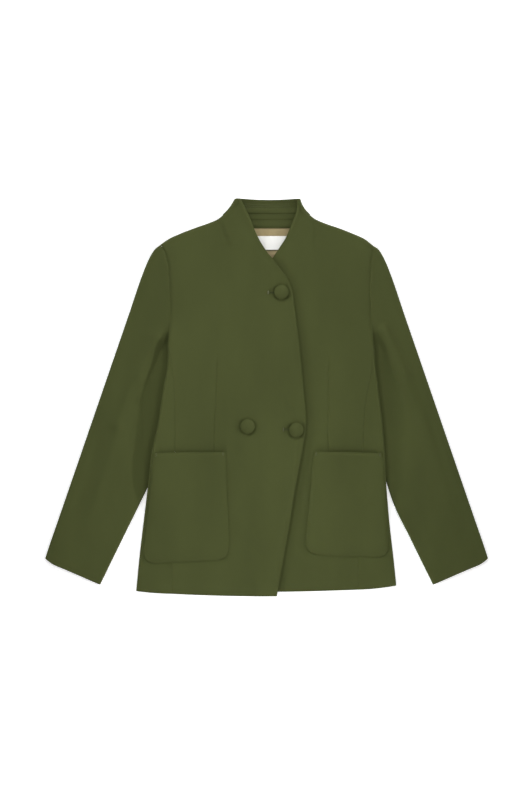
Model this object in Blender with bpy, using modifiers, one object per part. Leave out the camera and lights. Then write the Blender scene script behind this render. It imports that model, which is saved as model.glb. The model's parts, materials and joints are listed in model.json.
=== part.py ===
"""Stand-collar double-breasted blazer, laid flat and face up.

Tables are in millimetres: x from the middle of the garment, positive to the wearer's left, and
h up from the lowest point of the hem. Every piece is an open sheet of cloth given its wall by
Solidify. Pieces that lie on one another take their heights from the same lay of the cloth.
"""

import math

import bmesh
import bpy
from mathutils import Vector

for old in list(bpy.data.objects):
    bpy.data.objects.remove(old, do_unlink=True)

# Sizes of the whole, in millimetres
MM = 0.001
LENGTH = 696.3
SEAM_GAP = 0.3
ARMHOLE_GAP = 0.6
SLEEVE_HEAD_GAP = 0.9
LAYER_GAP = 0.5
POCKET_GAP = 0.8

# Cloth walls
FRONT_WALL = 1.7
BACK_WALL = 1.6
SIDE_WALL = 1.8
SLEEVE_WALL = 1.3
POCKET_WALL = 1.8
COLLAR_WALL = 1.4
FACING_WALL = 1.4
LINING_WALL = 1.0
LABEL_WALL = 1.0

# Lay of the cloth: heights of the outer face above the floor
LOFT = 7.0
HEM_DROP = 1.0
HEM_REACH = 60.0
SHOULDER_RISE = 4.5
SHOULDER_REACH = 85.0
SHOULDER_AT = (168.0, 592.0)
NECK_RISE = 1.8
NECK_REACH = 80.0
NECK_AT = (7.0, 650.0)
FOLD_GAP = 1.0
FOLD_REACH = 8.0
FOLD_RIM = 1.0
SIDE_FOLD = 3.2
SLEEVE_WRAP = 9.0

# The sleeve slips under the side of the body and lifts it
SLEEVE_TUCKED = 4.2
LIFT = 4.9
LIFT_ARMPIT = (478.0, 446.0)
LIFT_HIP = (200.0, 110.0)
LIFT_INWARD = (4.0, 64.0)
TUCK_ARMPIT = (466.0, 442.0)
TUCK_HIP = (196.0, 140.0)
TUCK_OUTWARD = 42.0

# The right front lies over the left front
OVERLAP_RISE = FRONT_WALL + LAYER_GAP
OVERLAP_RAMP = (10.0, 40.0)

# Right front, hem to collar: front edge x, h, outer edge x, h, folded over at the outer edge
FRONT_RIGHT = (
    (18.0, 0.0, -165.5, 4.2, 0),
    (29.7, 68.0, -165.0, 62.0, 0),
    (41.0, 132.0, -163.5, 132.0, 0),
    (52.3, 202.0, -162.0, 202.0, 0),
    (62.4, 255.0, -160.5, 255.0, 0),
    (69.3, 305.0, -160.0, 307.0, 0),
    (65.1, 356.0, -161.0, 356.0, 0),
    (60.5, 408.0, -166.5, 409.0, 0),
    (58.5, 428.0, -166.8, 430.0, 0),
    (57.4, 438.0, -171.5, 441.0, 0),
    (55.2, 457.0, -170.5, 460.0, 0),
    (51.5, 484.0, -169.2, 486.0, 0),
    (47.6, 514.0, -168.9, 523.0, 0),
    (43.3, 539.0, -170.4, 558.0, 0),
    (36.0, 556.0, -173.5, 585.0, 0),
    (31.2, 564.5, -178.4, 602.5, 0),
    (25.6, 571.5, -186.0, 615.0, 1),
    (18.4, 581.5, -172.7, 624.4, 1),
    (10.9, 590.5, -150.0, 635.0, 1),
    (2.8, 600.0, -122.9, 645.4, 1),
    (-6.0, 612.5, -100.0, 653.5, 1),
    (-13.5, 625.5, -86.0, 659.7, 1),
    (-20.5, 640.0, -77.0, 666.5, 1),
    (-27.3, 657.7, -67.5, 677.0, 1),
    (-36.9, 678.3, -60.5, 687.4, 1),
    (-45.5, 695.4, -55.5, 696.3, 1),
)

# Left front, the same columns; its front edge is hidden up to the point of the neck
FRONT_LEFT = (
    (0.0, 7.2, 160.5, 11.4, 0),
    (-15.0, 68.0, 160.5, 62.0, 0),
    (-27.0, 132.0, 163.0, 132.0, 0),
    (-37.5, 202.0, 166.0, 202.0, 0),
    (-47.0, 255.0, 168.5, 255.0, 0),
    (-54.0, 305.0, 169.5, 307.0, 0),
    (-50.5, 356.0, 176.0, 356.0, 0),
    (-44.5, 408.0, 183.5, 409.0, 0),
    (-43.0, 428.0, 183.0, 430.0, 0),
    (-42.0, 438.0, 187.0, 441.0, 0),
    (-40.0, 457.0, 185.9, 460.0, 0),
    (-37.0, 484.0, 182.6, 486.0, 0),
    (-32.5, 514.0, 181.7, 523.0, 0),
    (-26.0, 538.0, 182.0, 558.0, 0),
    (-18.0, 554.0, 183.6, 585.0, 0),
    (-11.0, 563.5, 185.5, 604.0, 0),
    (-6.0, 570.0, 186.5, 613.5, 1),
    (2.0, 580.5, 172.7, 624.4, 1),
    (9.4, 590.5, 150.0, 635.0, 1),
    (17.6, 602.5, 123.0, 645.4, 1),
    (25.8, 614.8, 100.0, 653.5, 1),
    (33.1, 626.5, 86.0, 659.7, 1),
    (39.6, 641.5, 76.5, 666.5, 1),
    (46.9, 659.0, 67.5, 677.0, 1),
    (53.0, 678.0, 61.8, 687.4, 1),
    (52.5, 695.6, 59.0, 695.6, 1),
)
SHOULDER_ROW = 16
ARMPIT_ROW = 9
COLLAR_ROW = 22

# Side panels, hem to armpit: front seam x, h, side fold x, h, width on the underside
SIDE_RIGHT = (
    (-165.5, 4.2, -228.5, 9.0, 46.0),
    (-165.0, 62.0, -223.5, 62.0, 45.0),
    (-163.5, 132.0, -215.3, 132.0, 43.0),
    (-162.0, 202.0, -206.5, 202.0, 41.0),
    (-160.5, 255.0, -200.5, 255.0, 40.0),
    (-160.0, 307.0, -189.0, 307.0, 39.0),
    (-161.0, 356.0, -181.8, 356.0, 38.0),
    (-166.5, 409.0, -173.2, 409.0, 35.0),
    (-166.8, 430.0, -172.6, 430.0, 33.0),
)
SIDE_LEFT = (
    (160.5, 11.4, 227.3, 18.6, 46.0),
    (160.5, 62.0, 222.8, 62.0, 45.0),
    (163.0, 132.0, 214.9, 132.0, 43.0),
    (166.0, 202.0, 209.0, 202.0, 41.0),
    (168.5, 255.0, 206.3, 255.0, 40.0),
    (169.5, 307.0, 202.0, 307.0, 39.0),
    (176.0, 356.0, 196.3, 356.0, 38.0),
    (183.5, 409.0, 190.0, 409.0, 35.0),
    (183.0, 430.0, 188.8, 430.0, 33.0),
)

# Sleeves: outer edge x, h from the shoulder point to the cuff, alike on both sides
SLEEVE_OUTER = (
    (194.5, 608.5),
    (202.0, 598.0),
    (209.0, 584.0),
    (217.4, 563.0),
    (239.9, 497.5),
    (282.4, 374.0),
    (325.7, 248.0),
    (361.8, 143.0),
    (383.4, 80.2),
    (388.0, 66.0),
)
# Inner edge x, h from the hidden end under the arm to the cuff
SLEEVE_INNER_RIGHT = (
    (-140.0, 421.0),
    (-139.5, 407.0),
    (-146.0, 356.0),
    (-161.0, 307.0),
    (-183.0, 255.0),
    (-205.8, 195.6),
    (-221.0, 164.0),
    (-252.0, 101.0),
    (-291.5, 20.0),
)
SLEEVE_INNER_LEFT = (
    (157.0, 421.0),
    (156.5, 407.0),
    (163.0, 356.0),
    (176.5, 307.0),
    (194.5, 255.0),
    (211.0, 195.6),
    (221.4, 164.0),
    (251.7, 101.0),
    (291.5, 20.0),
)
# Sleeve hem x, h between the outer and inner corners
CUFF = (
    (377.0, 57.4),
    (354.0, 47.0),
    (329.5, 36.4),
    (305.5, 25.9),
)
# Armhole below the visible seam, under the body
UNDERARM_RIGHT = ((-166.0, 432.0), (-155.0, 425.5))
UNDERARM_LEFT = ((182.5, 432.0), (172.0, 425.5))

# Depth of the sleeve under the side of the body: h, right, left
TUCK = (
    (140.0, 0.0, 0.0),
    (196.0, 0.0, 0.0),
    (255.0, 17.5, 12.0),
    (307.0, 28.5, 26.0),
    (356.0, 36.0, 33.5),
    (409.0, 34.0, 33.5),
    (480.0, 32.0, 32.0),
)

# Largest folds of the sleeves: start x, h, end x, h, half width, height
SLEEVE_FOLDS = (
    (-185.5, 440.0, -226.0, 340.0, 8.0, -1.9),
    (-203.0, 452.0, -260.0, 300.0, 13.0, 2.6),
    (-260.0, 300.0, -318.0, 115.0, 18.0, 1.6),
    (207.0, 466.0, 243.0, 386.0, 10.0, 2.8),
    (243.0, 386.0, 305.0, 220.0, 15.0, 1.9),
    (194.0, 440.0, 226.0, 350.0, 9.0, -1.9),
)

# Patch pockets: x, h of the upper right, upper left, lower left, lower right corner as worn
POCKET_RIGHT = ((-196.5, 251.5), (-72.3, 253.0), (-64.5, 64.5), (-217.5, 57.0))
POCKET_LEFT = ((201.5, 251.5), (83.2, 253.5), (66.5, 73.5), (215.5, 67.5))
POCKET_ROUND = 22.0

# Seam down the middle of the back
CENTRE_BACK = 2.0

# Inside of the back neck
NECK_SEAM_H = 666.5
COLLAR_DIP = 3.6
COLLAR_EASE = 1.6
FACING_TOP = (-58.0, 64.0, 666.0)
FACING_FOOT = (-60.0, 70.0, 644.5)
LINING_TOP = (-62.0, 72.0, 644.2)
LINING_FOOT = (-62.0, 72.0, 556.0)
LABEL_TOP = (-17.5, 35.5, 630.6)
LABEL_FOOT = (-17.5, 35.5, 606.5)

# Covered buttons: x, h
BUTTONS = {
    "button_neck": (26.1, 532.2),
    "button_waist_right": (-33.2, 297.3),
    "button_waist_left": (52.0, 291.2),
}
BUTTON_RADIUS = 13.0
BUTTON_HEIGHT = 6.2
BUTTON_STEPS = 20

# Colours
GREEN = (0.066, 0.076, 0.029, 1.0)
BEIGE = (0.34, 0.28, 0.155, 1.0)
WHITE = (0.70, 0.69, 0.64, 1.0)


def smooth(value):
    """Soft step from 0 to 1."""
    value = min(max(value, 0.0), 1.0)
    return value * value * (3.0 - 2.0 * value)


def spline(points, position, corner=None):
    """Point at a fractional row of a smooth line through table points."""
    last = len(points) - 1
    row = min(int(position), last - 1)
    share = position - row
    steps = [max((points[k + 1] - points[k]).length, 1e-6) for k in range(last)]

    def slope(k, inside):
        if k in (0, last, corner):
            return (points[inside + 1] - points[inside]) / steps[inside]
        back = (points[k] - points[k - 1]) / steps[k - 1]
        ahead = (points[k + 1] - points[k]) / steps[k]
        return (back * steps[k] + ahead * steps[k - 1]) / (steps[k] + steps[k - 1])

    start = slope(row, row) * steps[row]
    end = slope(row + 1, row) * steps[row]
    a, b = points[row], points[row + 1]
    t2, t3 = share * share, share ** 3
    return (a * (2 * t3 - 3 * t2 + 1) + start * (t3 - 2 * t2 + share)
            + b * (3 * t2 - 2 * t3) + end * (t3 - t2))


def along(points, share):
    """Point at a share of the length of a smooth line through table points."""
    steps = [(points[k + 1] - points[k]).length for k in range(len(points) - 1)]
    left = share * sum(steps)
    for k, step in enumerate(steps):
        if left <= step or k == len(steps) - 1:
            return spline(points, k + min(left / step, 1.0))
        left -= step


def column(table, x, h):
    """One pair of columns of a table as plan points."""
    return [Vector((row[x], row[h])) for row in table]


def lookup(table, key, value, wanted):
    """Value of a column read from a table by straight steps."""
    rows = sorted(table, key=lambda row: row[key])
    if wanted <= rows[0][key]:
        return rows[0][value]
    for low, high in zip(rows, rows[1:]):
        if wanted <= high[key]:
            share = (wanted - low[key]) / (high[key] - low[key])
            return low[value] + (high[value] - low[value]) * share
    return rows[-1][value]


ARMHOLE_RIGHT = column(FRONT_RIGHT, 2, 3)[ARMPIT_ROW:SHOULDER_ROW + 1]
ARMHOLE_LEFT = column(FRONT_LEFT, 2, 3)[ARMPIT_ROW:SHOULDER_ROW + 1]


def body_edge(side, h):
    """Distance of the side of the body from the middle at a height."""
    table = SIDE_LEFT if side > 0 else SIDE_RIGHT
    return lookup(table, 3, 2, h) * side


def lift(x, h):
    """Height of the body's underside, raised where a sleeve lies beneath."""
    side = 1 if x > 0 else -1
    inward = body_edge(side, h) - x * side
    tuck = lookup(TUCK, 0, 2 if side > 0 else 1, h)
    height = smooth((LIFT_ARMPIT[0] - h) / (LIFT_ARMPIT[0] - LIFT_ARMPIT[1]))
    height *= smooth((h - LIFT_HIP[1]) / (LIFT_HIP[0] - LIFT_HIP[1]))
    reach = LIFT_INWARD[1] - LIFT_INWARD[0]
    return LIFT * height * (1.0 - smooth((inward - tuck - LIFT_INWARD[0]) / reach))


def loft(x, h):
    """Height of the upper cloth over the underside."""
    rise = LOFT - HEM_DROP * math.exp(-h / HEM_REACH)
    across = abs(x) - SHOULDER_AT[0]
    up = h - SHOULDER_AT[1]
    rise += SHOULDER_RISE * math.exp(-(across ** 2 + up ** 2) / SHOULDER_REACH ** 2)
    across, up = x - NECK_AT[0], h - NECK_AT[1]
    return rise + NECK_RISE * math.exp(-(across ** 2 + up ** 2) / NECK_REACH ** 2)


def fold_depth(x, h, turned):
    """Height lost by the upper cloth, or gained by the lower, at the shoulder fold."""
    return turned * (0.5 * loft(x, h) - FOLD_RIM - FOLD_GAP / 2.0)


def body_top(x, h):
    """Outer face of the fronts and sides."""
    return lift(x, h) + loft(x, h)


def over_top(x, h):
    """Outer face of the right front, raised where it covers the left one."""
    edge = lookup(FRONT_LEFT, 1, 0, h)
    near, far = OVERLAP_RAMP
    return body_top(x, h) + OVERLAP_RISE * smooth((x - edge + far) / (far - near))


def folds(x, h):
    """Sum of the large folds at a point of a sleeve."""
    total = 0.0
    for x0, h0, x1, h1, half, height in SLEEVE_FOLDS:
        line = Vector((x1 - x0, h1 - h0))
        offset = Vector((x - x0, h - h0))
        share = offset.dot(line) / line.length_squared
        away = (offset - line * min(max(share, 0.0), 1.0)).length
        total += height * math.exp(-(away / half) ** 2)
    return total


def sleeve_top(x, h):
    """Outer face of a top sleeve, pressed flat where it slips under the body."""
    side = 1 if x > 0 else -1
    outward = x * side - body_edge(side, h)
    free = loft(x, h) + folds(x, h)
    under = smooth((TUCK_ARMPIT[0] - h) / (TUCK_ARMPIT[0] - TUCK_ARMPIT[1]))
    under *= smooth((h - TUCK_HIP[1]) / (TUCK_HIP[0] - TUCK_HIP[1]))
    under *= 1.0 - smooth(outward / TUCK_OUTWARD)
    return free + (SLEEVE_TUCKED - free) * under


def place(x, h, z):
    """Point of the scene for a point of the garment."""
    return Vector((x, h - LENGTH / 2.0, z)) * MM


def cloth(name, colour, roughness):
    """Plain cloth material."""
    material = bpy.data.materials.new(name)
    material.use_nodes = True
    shader = material.node_tree.nodes["Principled BSDF"]
    shader.inputs["Base Color"].default_value = colour
    shader.inputs["Roughness"].default_value = roughness
    return material


GARMENT = bpy.data.collections.new("blazer")
bpy.context.scene.collection.children.link(GARMENT)
WOOL = cloth("olive_wool", GREEN, 0.9)
SATIN = cloth("beige_lining", BEIGE, 0.5)
TAPE = cloth("white_label", WHITE, 0.6)


def sheet(name, rows, wall, material=WOOL, face_up=True):
    """A sheet of cloth through rows of points, given its wall away from its outer face."""
    down, across = len(rows), len(rows[0])
    mesh = bmesh.new()
    bmesh.ops.create_grid(mesh, x_segments=across - 1, y_segments=down - 1, size=0.5)
    mesh.verts.ensure_lookup_table()
    for vertex in mesh.verts:
        i = round((vertex.co.x + 0.5) * (across - 1))
        j = round((vertex.co.y + 0.5) * (down - 1))
        vertex.co = rows[j][i]
    mesh.normal_update()
    highest = max(mesh.faces, key=lambda face: face.calc_center_median().z + face.normal.z ** 2)
    flattest = max(mesh.faces, key=lambda face: face.normal.z ** 2)
    sample = highest if face_up else flattest
    if (sample.normal.z > 0) != face_up:
        bmesh.ops.reverse_faces(mesh, faces=mesh.faces)
    data = bpy.data.meshes.new(name)
    mesh.to_mesh(data)
    mesh.free()
    piece = bpy.data.objects.new(name, data)
    GARMENT.objects.link(piece)
    data.materials.append(material)
    solid = piece.modifiers.new("wall", "SOLIDIFY")
    solid.thickness = wall * MM
    solid.offset = -1.0
    solid.use_even_offset = True
    solid.use_quality_normals = True
    return piece


def section_rows(lines, spacing, whole=(0, 0)):
    """Fractional rows so that steps stay near the spacing, with whole rows in a given range."""
    rows = []
    for k in range(len(lines[0]) - 1):
        longest = max((line[k + 1] - line[k]).length for line in lines)
        parts = max(1, round(longest / spacing))
        if whole[0] <= k < whole[1]:
            parts = 1
        rows += [k + part / parts for part in range(parts)]
    return rows + [len(lines[0]) - 1]


def roll(reach, fold):
    """Distance from the outermost line and share turned over, the last one on the rim."""
    angles = [math.radians(a) for a in (0.0, 36.0, 64.0, 90.0)]
    steps = [(reach * (1.0 - math.sin(a)), fold * (1.0 - math.cos(a))) for a in angles]
    steps[-1] = (0.5 * steps[-2][0] * (1.0 - fold), fold)
    return steps + [(0.0, fold)]


def front(name, table, top):
    """A front with its half collar, rolled down at the shoulder and collar fold."""
    edges, outers = column(table, 0, 1), column(table, 2, 3)
    side = 1 if outers[0].x > 0 else -1
    whole = (ARMPIT_ROW, SHOULDER_ROW - 1)
    rows = []
    for position in section_rows((edges, outers), 24.0, whole):
        edge = spline(edges, position)
        outer = spline(outers, position, SHOULDER_ROW)
        fold = min(max(position - SHOULDER_ROW + 1.0, 0.0), 1.0)
        gap = SEAM_GAP if position < ARMPIT_ROW else ARMHOLE_GAP
        outer.x -= side * gap / 2.0 * (1.0 if position <= SHOULDER_ROW else 0.0)
        width = (outer - edge).length
        reach = min(FOLD_REACH, 0.45 * width)
        shares = [((1.0 - reach / width) * k / 10.0, 0.0) for k in range(10)]
        shares += [(1.0 - inset / width, turned) for inset, turned in roll(reach, fold)]
        points = []
        for share, turned in shares:
            x, h = edge.lerp(outer, share)
            points.append(place(x, h, top(x, h) - fold_depth(x, h, turned)))
        points[-1].z -= FOLD_RIM * MM * fold
        rows.append(points)
    return sheet(name, rows, FRONT_WALL)


def side_panel(name, table):
    """A side panel from the front seam round the side fold to the underside."""
    seams, folded = column(table, 0, 1), column(table, 2, 3)
    widths = [Vector((row[4], 0.0)) for row in table]
    side = 1 if seams[0].x > 0 else -1
    rows = []
    for position in section_rows((seams, folded), 24.0):
        seam, fold = spline(seams, position), spline(folded, position)
        seam.x += side * SEAM_GAP / 2.0
        under = spline(widths, position).x
        strip = (fold - seam).length
        points = []
        for k in range(3):
            plan = seam.lerp(fold, (1.0 - SIDE_FOLD / strip) * k / 3.0)
            points.append(place(plan.x, plan.y, body_top(plan.x, plan.y)))
        start = seam.lerp(fold, 1.0 - SIDE_FOLD / strip)
        high = body_top(start.x, start.y)
        floor = lift(start.x, start.y)
        for angle in range(0, 181, 36):
            turn = math.radians(angle)
            plan = seam.lerp(fold, 1.0 - SIDE_FOLD * (1.0 - math.sin(turn)) / strip)
            height = floor + (high - floor) * 0.5 * (1.0 + math.cos(turn))
            points.append(place(plan.x, plan.y, height))
        for k in (1, 2):
            x = start.x - side * (under - SIDE_FOLD) * k / 2.0
            points.append(place(x, start.y, lift(x, start.y)))
        rows.append(points)
    return sheet(name, rows, SIDE_WALL)


def lower_points(ends, fold, count):
    """Plan points and turned shares of a section that rolls up at both folded ends."""
    width = (ends[1] - ends[0]).length
    turns = roll(FOLD_REACH, fold)
    start = FOLD_REACH / width
    shares = [(inset / width, turned) for inset, turned in reversed(turns)]
    shares += [(start + (1.0 - 2.0 * start) * k / count, 0.0) for k in range(1, count)]
    shares += [(1.0 - inset / width, turned) for inset, turned in turns]
    return [(ends[0].lerp(ends[1], share), turned) for share, turned in shares]


def half_points(edge, centre, fold, count):
    """Plan points and turned shares of a section that rolls up at its outer end only."""
    width = (centre - edge).length
    start = FOLD_REACH / width
    shares = [(inset / width, turned) for inset, turned in reversed(roll(FOLD_REACH, fold))]
    shares += [(start + (1.0 - start) * k / count, 0.0) for k in range(1, count + 1)]
    return [(edge.lerp(centre, share), turned) for share, turned in shares]


def back_edge(table, fronts, side):
    """Outer edge of one half of the back, hem to neck."""
    line = [Vector((row[2] - side * (row[4] + SEAM_GAP), row[3])) for row in table]
    line[-1].y += SEAM_GAP
    line.append(Vector((table[-1][2] - side * 2.5, table[-1][3] + 5.0)))
    for row in fronts[ARMPIT_ROW + 1:COLLAR_ROW + 1]:
        inset = 0.0 if row[4] else side * ARMHOLE_GAP / 2.0
        line.append(Vector((row[2] - inset, row[3])))
    line[-1].y = NECK_SEAM_H - SEAM_GAP
    return line


def back_panels():
    """The two halves of the back, flat on the floor, rolled up to meet the fronts."""
    edges = [back_edge(SIDE_RIGHT, FRONT_RIGHT, -1), back_edge(SIDE_LEFT, FRONT_LEFT, 1)]
    armpit = len(SIDE_RIGHT)
    corner = armpit + SHOULDER_ROW - ARMPIT_ROW
    halves = [[], []]
    for position in section_rows(edges, 34.0, (armpit - 1, corner - 1)):
        if position <= armpit - 1:
            ends = [spline(line[:armpit], position) for line in edges]
        else:
            ends = [spline(line, position, corner) for line in edges]
        fold = min(max(position - corner + 1.0, 0.0), 1.0)
        for rows, edge, side in zip(halves, ends, (-1, 1)):
            seam = CENTRE_BACK + side * SEAM_GAP / 2.0
            centre = ends[0].lerp(ends[1], (seam - ends[0].x) / (ends[1].x - ends[0].x))
            points = []
            for (x, h), turned in half_points(edge, centre, fold, 6):
                points.append(place(x, h, lift(x, h) + fold_depth(x, h, turned)))
            points[0].z += FOLD_RIM * MM * fold
            rows.append(points)
    sheet("back_right", halves[0], BACK_WALL, face_up=False)
    sheet("back_left", halves[1], BACK_WALL, face_up=False)


def sleeve(name, side, armhole, underarm, inner):
    """A two-piece sleeve: the top piece wraps both folds, the under piece lies flat."""
    away = Vector((side * ARMHOLE_GAP / 2.0, 0.0))
    armhole = [point + away for point in reversed(armhole)]
    for point in armhole[:2]:
        point.x += side * SLEEVE_HEAD_GAP
    armhole += [Vector(point) for point in underarm] + [Vector(inner[0])]
    outer = [armhole[0]] + [Vector((x * side, h)) for x, h in SLEEVE_OUTER]
    inner = [Vector(point) for point in inner]
    cuff = [outer[-1]] + [Vector((x * side, h)) for x, h in CUFF] + [inner[-1]]
    steps = [(b - a).length for a, b in zip(armhole, armhole[1:])]
    columns = [sum(steps[:k]) / sum(steps) for k in range(1, len(steps))]

    def plan_at(u, v):
        ends = along(outer, v).lerp(along(inner, v), u)
        hems = along(armhole, u).lerp(along(cuff, u), v)
        top = outer[0].lerp(inner[0], u)
        foot = outer[-1].lerp(inner[-1], u)
        return ends + hems - top.lerp(foot, v)

    def sleeve_roll(v, width, inner_side):
        start = plan_at(1.0 - 3.6 / width if inner_side else 3.6 / width, v)
        high = sleeve_top(start.x, start.y)
        inset = max(0.5 * high, 2.8)
        points = []
        for angle in range(180, -1, -36):
            turn = math.radians(angle)
            share = inset * (1.0 - math.sin(turn)) / width
            plan = plan_at(1.0 - share if inner_side else share, v)
            points.append(place(plan.x, plan.y, high * 0.5 * (1.0 + math.cos(turn))))
        share = (inset + SLEEVE_WRAP) / width
        plan = plan_at(1.0 - share if inner_side else share, v)
        return [place(plan.x, plan.y, 0.0)] + points, share + SEAM_GAP / width

    top_rows, under_rows = [], []
    count = 24
    for j in range(count + 1):
        v = j / count
        width = sum((plan_at((k + 1) / 12, v) - plan_at(k / 12, v)).length for k in range(12))
        outer_roll, low = sleeve_roll(v, width, False)
        inner_roll, high = sleeve_roll(v, width, True)
        points = list(outer_roll)
        for u in columns:
            plan = plan_at(u, v)
            points.append(place(plan.x, plan.y, sleeve_top(plan.x, plan.y)))
        top_rows.append(points + list(reversed(inner_roll)))
        flat = [low] + columns[1:-1] + [1.0 - high]
        spots = [plan_at(u, v) for u in flat]
        under_rows.append([place(plan.x, plan.y, 0.0) for plan in spots])
    sheet("sleeve_top_" + name, top_rows, SLEEVE_WALL)
    sheet("sleeve_under_" + name, under_rows, SLEEVE_WALL, face_up=False)


def pocket(name, corners, top):
    """A patch pocket lying on the front and side, round at its lower corners."""
    side_top, front_top, front_foot, side_foot = [Vector(point) for point in corners]
    deep = ((side_top - side_foot).length + (front_top - front_foot).length) / 2.0
    rises = [0.0, 0.06, 0.2, 0.45, 1.0]
    heights = [POCKET_ROUND * rise for rise in rises]
    heights += [POCKET_ROUND + (deep - POCKET_ROUND) * k / 8.0 for k in range(1, 9)]
    rows = []
    for height in heights:
        left = side_foot.lerp(side_top, height / deep)
        right = front_foot.lerp(front_top, height / deep)
        width = (right - left).length
        short = POCKET_ROUND - min(height, POCKET_ROUND)
        inset = POCKET_ROUND - math.sqrt(POCKET_ROUND ** 2 - short ** 2)
        points = []
        for k in range(10):
            share = inset / width + (1.0 - 2.0 * inset / width) * k / 9.0
            plan = left.lerp(right, share)
            lay = top(plan.x, plan.y) + POCKET_GAP + POCKET_WALL
            points.append(place(plan.x, plan.y, lay))
        rows.append(points)
    return sheet(name, rows, POCKET_WALL)


def flat_piece(name, top, foot, floor, wall, material, counts):
    """A flat piece lying inside the back of the neck."""
    across, down = counts
    rows = []
    for j in range(down + 1):
        share = j / down
        low, high = foot[0] + (top[0] - foot[0]) * share, foot[1] + (top[1] - foot[1]) * share
        h = foot[2] + (top[2] - foot[2]) * share
        rows.append([place(low + (high - low) * k / across, h, floor + wall)
                     for k in range(across + 1)])
    return sheet(name, rows, wall, material)


def collar_stand():
    """The back of the collar, flat on the floor between the two half collars."""
    right = column(FRONT_RIGHT, 2, 3)[COLLAR_ROW:]
    left = column(FRONT_LEFT, 2, 3)[COLLAR_ROW:]
    right[0].y = left[0].y = NECK_SEAM_H + SEAM_GAP
    last = len(right) - 1
    rows = []
    for position in section_rows((right, left), 8.0):
        ends = [spline(right, position), spline(left, position)]
        points = []
        for (x, h), turned in lower_points(ends, 1.0, 9):
            across = 2.0 * (x - ends[0].x) / (ends[1].x - ends[0].x) - 1.0
            dip = COLLAR_DIP * (1.0 - across ** 2) * position / last
            ease = COLLAR_EASE * turned * (1.0 - position / last)
            points.append(place(x, h - dip + ease, fold_depth(x, h, turned)))
        points[0].z += FOLD_RIM * MM
        points[-1].z += FOLD_RIM * MM
        rows.append(points)
    return sheet("collar_back", rows, COLLAR_WALL, face_up=False)


def button(name, x, h):
    """A covered button: a cloth dome turned about its own axis."""
    rim = [(x + BUTTON_RADIUS * math.cos(a), h + BUTTON_RADIUS * math.sin(a))
           for a in [math.radians(30.0 * k) for k in range(12)]]
    seat = max(over_top(px, ph) for px, ph in rim + [(x, h)]) + SEAM_GAP
    profile = [(0.0, 0.0), (0.84, 0.0), (0.97, 0.12)]
    for angle in range(0, 91, 18):
        turn = math.radians(angle)
        profile.append((math.cos(turn) ** 0.8, 0.3 + 0.7 * math.sin(turn)))
    profile[-1] = (0.0, 1.0)
    mesh = bmesh.new()
    spots = [mesh.verts.new((r * BUTTON_RADIUS * MM, 0.0, z * BUTTON_HEIGHT * MM))
             for r, z in reversed(profile)]
    for first, second in zip(spots, spots[1:]):
        mesh.edges.new((first, second))
    data = bpy.data.meshes.new(name)
    mesh.to_mesh(data)
    mesh.free()
    piece = bpy.data.objects.new(name, data)
    GARMENT.objects.link(piece)
    piece.location = place(x, h, seat)
    data.materials.append(WOOL)
    turned = piece.modifiers.new("turn", "SCREW")
    turned.axis = "Z"
    turned.angle = 2.0 * math.pi
    turned.steps = BUTTON_STEPS
    turned.render_steps = BUTTON_STEPS
    turned.use_merge_vertices = True
    turned.merge_threshold = 0.00001
    return piece


front("front_right", FRONT_RIGHT, over_top)
front("front_left", FRONT_LEFT, body_top)
side_panel("side_right", SIDE_RIGHT)
side_panel("side_left", SIDE_LEFT)
back_panels()
sleeve("right", -1, ARMHOLE_RIGHT, UNDERARM_RIGHT, SLEEVE_INNER_RIGHT)
sleeve("left", 1, ARMHOLE_LEFT, UNDERARM_LEFT, SLEEVE_INNER_LEFT)
collar_stand()
INSIDE = BACK_WALL + SEAM_GAP
flat_piece("neck_facing", FACING_TOP, FACING_FOOT, INSIDE, FACING_WALL, WOOL, (6, 2))
flat_piece("back_lining", LINING_TOP, LINING_FOOT, INSIDE, LINING_WALL, SATIN, (6, 4))
flat_piece("neck_label", LABEL_TOP, LABEL_FOOT, INSIDE + LINING_WALL + SEAM_GAP, LABEL_WALL,
           TAPE, (4, 2))
pocket("pocket_right", POCKET_RIGHT, over_top)
pocket("pocket_left", POCKET_LEFT, body_top)
for label, (spot_x, spot_h) in BUTTONS.items():
    button(label, spot_x, spot_h)
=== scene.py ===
"""Looks of the stand-collar blazer, laid flat and face up on a pale floor, seen from straight above.

Tables are in millimetres, as in the part's source: x from the middle of the garment, positive to
the wearer's left, and h up from the lowest point of the hem. Every panel is a thin closed shell on
the form of its solid, with the folds, darts and dimples of the worn cloth laid into it.
"""

import json
import math

import bpy
import numpy as np
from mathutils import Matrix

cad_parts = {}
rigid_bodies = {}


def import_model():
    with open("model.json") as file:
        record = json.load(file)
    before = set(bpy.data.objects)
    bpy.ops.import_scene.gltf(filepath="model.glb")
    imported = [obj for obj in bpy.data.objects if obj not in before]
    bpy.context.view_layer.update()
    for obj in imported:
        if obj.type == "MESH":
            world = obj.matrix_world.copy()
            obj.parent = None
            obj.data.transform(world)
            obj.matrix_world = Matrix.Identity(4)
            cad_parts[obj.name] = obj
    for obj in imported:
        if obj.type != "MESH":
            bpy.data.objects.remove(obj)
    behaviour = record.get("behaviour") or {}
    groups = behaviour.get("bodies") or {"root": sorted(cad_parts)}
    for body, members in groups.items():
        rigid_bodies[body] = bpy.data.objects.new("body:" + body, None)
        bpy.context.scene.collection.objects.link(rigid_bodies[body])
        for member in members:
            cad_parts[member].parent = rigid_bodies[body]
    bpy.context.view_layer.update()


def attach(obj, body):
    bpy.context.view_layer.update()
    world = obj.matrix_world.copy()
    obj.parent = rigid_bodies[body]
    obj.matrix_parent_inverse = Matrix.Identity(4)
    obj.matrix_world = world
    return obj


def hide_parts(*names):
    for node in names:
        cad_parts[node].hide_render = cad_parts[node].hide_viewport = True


for old in list(bpy.data.objects):
    bpy.data.objects.remove(old, do_unlink=True)

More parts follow.
